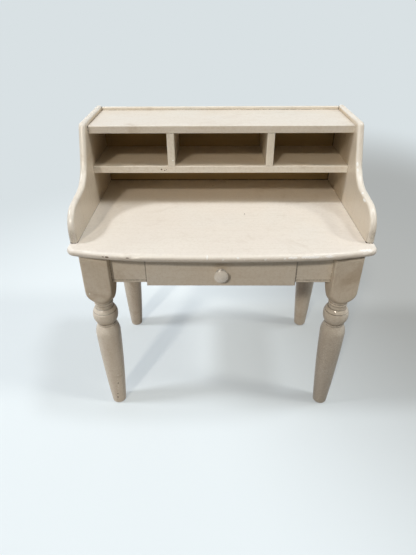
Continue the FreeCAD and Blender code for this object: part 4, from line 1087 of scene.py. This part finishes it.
@dataclass
class Frame:
    """Aprons round the legs, with the rail, cleats, runners and stops inside them."""

    paint: Paint
    timber: Timber
    block_inner: float = 0.373
    opening: float = 0.2545
    quirk: float = 0.6075

    def build(self) -> None:
        """Dress the boards."""
        # dark line along the bead's quirk: grime, and painted shade in the crease
        quirk = DarkBand(Z, self.quirk, 0.75, 0.0018)
        for side, sign in SIDES.items():
            meeting = (DarkBand(X, sign * self.block_inner, 0.7, 0.0020),
                       DarkBand(X, sign * self.opening, 0.5, 0.0030), quirk)
            self.paint.dress(f"front_apron_{side}", Grain.ACROSS, meeting, worn=0.3, soiled=0.4)
            self.paint.dress(f"side_apron_{side}", Grain.DEEP, (quirk,), worn=0.3)
            for board in ("top_cleat", "drawer_runner", "drawer_stop"):
                self.timber.dress(f"{board}_{side}", Grain.DEEP)
        self.paint.dress("back_apron", Grain.ACROSS, (quirk,), worn=0.3)
        for board in ("front_rail", "top_cleat_back"):
            self.timber.dress(board, Grain.ACROSS)


@dataclass
class Drawer:
    """The drawer: its painted front and knob, and its bare box."""

    paint: Paint
    timber: Timber
    plywood: Timber
    steel: Steel
    turned: TurnedTree
    screws: ScrewTree
    base_radius: float = 0.0185
    base_thick: float = 0.004
    neck_radius: float = 0.0105
    neck_length: float = 0.0185
    neck_flare: float = 0.003
    head_radius: float = 0.024
    rim: float = 0.0015
    dome: float = 0.0070
    fine: float = 0.0006
    # drop below the knob's middle of its painted highlight
    glint_drop: float = 0.0105
    screw: Screw = Screw(0.042, 0.002, 0.0011)

    def build(self) -> None:
        """Dress the box, turn the knob and drive its screw."""
        low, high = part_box("drawer_front")
        ends = (DarkBand(X, low[X], 0.5, 0.0026), DarkBand(X, high[X], 0.6, 0.0034))
        self.paint.dress("drawer_front", Grain.ACROSS, ends, worn=0.3, soiled=0.4)
        for side in SIDES:
            self.timber.dress(f"drawer_side_{side}", Grain.DEEP)
        self.timber.dress("drawer_back", Grain.ACROSS)
        self.plywood.dress("drawer_bottom", Grain.ACROSS)
        self.turn_knob()
        self.drive_screw()

    def outline(self) -> Outline:
        """Draw the half outline of the knob.

        Returns:
            The outline from the middle of the collar to the middle of the head.
        """
        under = self.base_thick + self.neck_length
        rim = under + self.rim
        edge = self.neck_radius + self.neck_flare
        lip = self.base_radius - self.base_thick / 2
        waist = (edge + lip) / 2 - self.neck_radius
        shape = Outline(0.0, 0.0)
        shape.line(self.base_radius, 0.0, 0.006)
        shape.line(self.base_radius, self.base_thick / 2, self.fine)
        shape.arc(lip, self.base_thick, self.base_thick / 2, step=self.fine)
        shape.arc(edge, under, swell_radius(math.hypot(lip - edge, self.neck_length), waist), True, self.fine)
        shape.line(self.head_radius - self.rim / 2, under + self.rim / 2, self.fine)
        shape.arc(self.head_radius, rim, self.rim / 2, step=0.0004)
        shape.arc(0.0, rim + self.dome, upright_radius(self.dome, self.head_radius), step=self.fine)
        shape.soften(8)
        return shape

    def turn_knob(self) -> None:
        """Turn the knob and let it stand for its node."""
        low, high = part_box("drawer_knob")
        height = (low[Z] + high[Z]) / 2
        place = Matrix.Translation((0.0, high[Y], height)) @ Matrix.Rotation(math.pi / 2, 4, "X")
        # paler paint on the knob: hand-rubbed paint, and painted light for the light its dome catches
        handled_and_lit = replace(self.paint, cream=tone(253, 248, 238), warm=tone(250, 243, 231), sheen=1.0, gloss=0.38,
                          relief=0.03, polish=1.0, polish_top=1.0)
        # a dark seam where the knob meets the front, and a wider painted shade over its collar and neck
        collar = (DarkBand(Y, high[Y], 0.9, 0.0016), DarkBand(Y, high[Y], 0.45, 0.0190, broken=0.3))
        # a pale dot low on the knob's dome: a painted highlight
        painted_glint = Chip((0.0005, low[Y] + 0.002, height - self.glint_drop), (0.0018, 0.004, 0.0016))
        material = handled_and_lit.make("drawer_knob", Grain.DEEP, collar, (painted_glint,), worn=0.0, soiled=0.15)
        piece = self.turned.run("turned_drawer_knob", self.outline().points(), True, {
            "Segments": 96, "Half block": 0.1, "Squareness": 2.0, "Softness": 0.0001,
            "Unevenness": 0.0001, "Seed": 9.0, "Material": material,
        }, place)
        settle(piece, "drawer_knob", "drawer")

    def drive_screw(self) -> None:
        """Drive the knob's screw from inside the front."""
        low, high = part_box("knob_screw")
        seat = Matrix.Translation((0.0, high[Y] - self.screw.head_thick, (low[Z] + high[Z]) / 2))
        self.screws.drive("knob_screw", "drawer", self.screw, [(0.0, 0.0, 0.0)], 5,
                          seat @ Matrix.Rotation(math.pi / 2, 4, "X"), self.steel)


@dataclass
class Fasteners:
    """Screws under the top and dowels in the hutch."""

    steel: Steel
    timber: Timber
    screws: ScrewTree
    cleat_x: float = 0.407
    cleat_y: tuple[float, ...] = (-0.097, 0.028, 0.153)
    row_x: tuple[float, ...] = (-0.235, 0.0, 0.235)
    row_y: tuple[float, ...] = (0.2695, -0.2055)
    panel_x: float = 0.480
    panel_y: tuple[float, ...] = (-0.1785, 0.0415, 0.2615)
    shank_radius: float = 0.0022
    slot: float = 0.0012

    def build(self) -> None:
        """Drive both sets of screws and dress the dowels."""
        cleats = [(sign * self.cleat_x, y, 0.0) for sign in SIDES.values() for y in self.cleat_y]
        rows = [(x, y, 0.0) for y in self.row_y for x in self.row_x]
        panels = [(sign * self.panel_x, y, 0.0) for sign in SIDES.values() for y in self.panel_y]
        for node, spots, seed in (("top_screws", cleats + rows, 3), ("panel_screws", panels, 8)):
            low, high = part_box(node)
            seat = low[Z] + Screw.head_thick
            self.screws.drive(node, "desk", Screw(high[Z] - seat, self.shank_radius, self.slot), spots, seed,
                              Matrix.Translation((0.0, 0.0, seat)), self.steel)
        self.timber.dress("divider_dowels", Grain.UP)


@dataclass(frozen=True)
class Lamp:
    """A far lamp.

    Attributes:
        name: Its name.
        towards: The way from the desk to it.
        level: How bright it is.
        spread: How wide it looks from the desk, in degrees.
        tint: Its colour.
    """

    name: str
    towards: Point
    level: float
    spread: float
    tint: Colour = (0.98, 1.0, 1.03, 1.0)


@dataclass
class Studio(Finish):
    """The stage: a pale floor, four lamps, a world that looks pale and even, and the camera.

    Attributes:
        fade: Where the floor starts and stops to fade to its far colour.
        glow: How much of its colour by the desk is its own light.
        bounce: Its colour for the light that it throws back.
    """

    kind: ClassVar[str] = "floor"
    pale: Colour = tone(229, 238, 242)
    distant: Colour = tone(217, 225, 228)
    shaded: Colour = tone(174, 177, 176)
    shade_at: Point = (1.4, 1.3, 0.0)
    shade_reach: Point = (1.75, 3.3, 1.0)
    floor_half: float = 400.0
    floor_drop: float = 0.0006
    fade: tuple[float, float] = (0.9, 2.6)
    glow: float = 0.32
    bounce: Colour = (0.29, 0.25, 0.21, 1.0)
    bounce_right: Colour = (0.07, 0.06, 0.05, 1.0)
    bounce_far: Colour = (0.10, 0.085, 0.06, 1.0)
    lamps: tuple[Lamp, ...] = (
        Lamp("over_left", (-0.70, -0.08, 1.0), 1.29, 8.5),
        Lamp("over_right", (0.34, 0.02, 1.0), 0.60, 8.0),
        Lamp("far_right", (0.92, -0.20, 1.0), 0.74, 9.0, (1.0, 0.97, 0.90, 1.0)),
        Lamp("front_left", (-0.42, -1.0, 0.82), 1.06, 5.0, (1.0, 0.905, 0.78, 1.0)),
    )
    ambient: float = 0.01
    above: float = 0.14
    left: float = 0.36
    right: float = 0.05
    behind: float = 1.15
    sky: Colour = tone(250, 251, 255)
    camera_at: Point = (-0.028, -1.500, 1.4346)
    yaw: float = -0.73
    pitch: float = 33.07
    roll: float = -0.36
    focal: float = 440.0
    frame_width: float = 416.0
    sensor: float = 36.0

    def build(self) -> None:
        """Set the stage."""
        self.lay_floor()
        self.light()
        self.surround()
        self.aim_camera()
        bpy.context.scene.view_settings.view_transform = "Standard"
        log.info("set the stage")

    def seen(self, sheet: Sheet) -> Shade:
        """1 for rays that show the stage itself, and 0 for rays that carry its light."""
        path = sheet.add("ShaderNodeLightPath", output="Is Camera Ray")
        return sheet.largest(path, path.other("Is Glossy Ray"), path.other("Is Transmission Ray"))

    def lay_floor(self) -> None:
        """Lay a wide pale floor that keeps the desk's shadow and fades to the world's colour."""
        half = self.floor_half
        mesh = bpy.data.meshes.new("floor")
        corners = [(-half, -half), (half, -half), (half, half), (-half, half)]
        mesh.from_pydata([(x, y, -self.floor_drop) for x, y in corners], [], [(0, 1, 2, 3)])
        floor = link("floor", mesh)
        material, sheet = self.start("paper")
        at = sheet.place()
        away = sheet.length(at)
        out = sheet.smooth(away, *self.fade)
        off = sheet.vector("DIVIDE", sheet.vector("SUBTRACT", at, self.shade_at), self.shade_reach)
        # painted shade: a grey patch on the floor to the right of and behind the desk
        colour = sheet.coats(self.pale, (out, self.distant), (sheet.smooth(sheet.length(off), 1.0, 0.3), self.shaded))
        lit = sheet.add("ShaderNodeBsdfDiffuse", {}, {"Color": colour})
        glow = sheet.add("ShaderNodeEmission", {}, {"Color": colour, "Strength": 1.0})
        shown = sheet.add("ShaderNodeMixShader", {}, {0: out * (1 - self.glow) + self.glow, 1: lit, 2: glow})
        bounce = sheet.coats(self.bounce, (sheet.smooth(sheet.parts(at)[X], -0.1, 0.7), self.bounce_right),
                             (sheet.smooth(away, 1.0, 2.6), self.bounce_far))
        plain = sheet.add("ShaderNodeBsdfDiffuse", {}, {"Color": bounce})
        sheet.end("ShaderNodeOutputMaterial",
                  sheet.add("ShaderNodeMixShader", {}, {0: self.seen(sheet), 1: plain, 2: shown}))
        mesh.materials.append(material)

    def light(self) -> None:
        """Hang the lamps: three overhead, and one in front and to the left."""
        for lamp in self.lamps:
            light = bpy.data.lights.new(lamp.name, "SUN")
            light.energy = lamp.level
            light.angle = math.radians(lamp.spread)
            light.color = lamp.tint[:3]
            thing = link(lamp.name, light)
            thing.location = Vector(lamp.towards) * 3
            thing.rotation_euler = (-thing.location).to_track_quat("-Z", "Y").to_euler()

    def surround(self) -> None:
        """Surround the stage with a world that looks pale and even, and gives a soft light of its own."""
        world = bpy.data.worlds.new("surround")
        world.use_nodes = True
        bpy.context.scene.world = world
        sheet = Sheet(world.node_tree)
        across, deep, rise = sheet.parts(sheet.add("ShaderNodeTexCoord"))
        wall = sheet.smooth(rise, 0.0, 0.2) * sheet.smooth(rise, 0.8, 0.4)
        top = sheet.smooth(rise, 0.0, 0.85) * self.above
        left = sheet.smooth(across, -0.15, -0.9) * wall * self.left
        right = sheet.smooth(across, 0.15, 0.9) * wall * self.right
        rear = sheet.smooth(deep, 0.1, 0.9) * wall * self.behind
        strength = top + left + right + rear + self.ambient
        dim = sheet.add("ShaderNodeBackground", {}, {"Color": self.sky, "Strength": strength})
        shown = sheet.add("ShaderNodeBackground", {}, {"Color": self.distant, "Strength": 1.0})
        sheet.end("ShaderNodeOutputWorld",
                  sheet.add("ShaderNodeMixShader", {}, {0: self.seen(sheet), 1: dim, 2: shown}))

    def aim_camera(self) -> None:
        """Put the camera where the photograph was taken from."""
        yaw, pitch, roll = (math.radians(angle) for angle in (self.yaw, self.pitch, self.roll))
        forward = Vector((math.sin(yaw) * math.cos(pitch), math.cos(yaw) * math.cos(pitch), -math.sin(pitch)))
        right = Vector((math.cos(yaw), -math.sin(yaw), 0.0))
        up = right.cross(forward)
        tilted = right * math.cos(roll) + up * math.sin(roll)
        lifted = up * math.cos(roll) - right * math.sin(roll)
        turn = Matrix((tilted, lifted, -forward)).transposed()
        lens = bpy.data.cameras.new("camera")
        lens.sensor_fit = "HORIZONTAL"
        lens.sensor_width = self.sensor
        lens.lens = self.sensor * self.focal / self.frame_width
        camera = link("camera", lens)
        camera.matrix_world = Matrix.Translation(self.camera_at) @ turn.to_4x4()
        bpy.context.scene.camera = camera


def main() -> None:
    """Build the desk and set the stage."""
    logging.basicConfig(level=logging.INFO, format="%(message)s")
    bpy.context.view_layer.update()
    paint, timber, steel = Paint(), Timber(), Steel()
    plywood = Timber(tone(226, 198, 156), tone(206, 170, 122), tone(158, 120, 78), 18.0, "plywood")
    turned, screws = TurnedTree(), ScrewTree()
    for assembly in (
            Top(paint), Hutch(paint), Legs(paint, turned), Frame(paint, timber),
            Drawer(paint, timber, plywood, steel, turned, screws), Fasteners(steel, timber, screws), Studio()):
        assembly.build()


if __name__ == "__main__":
    main()
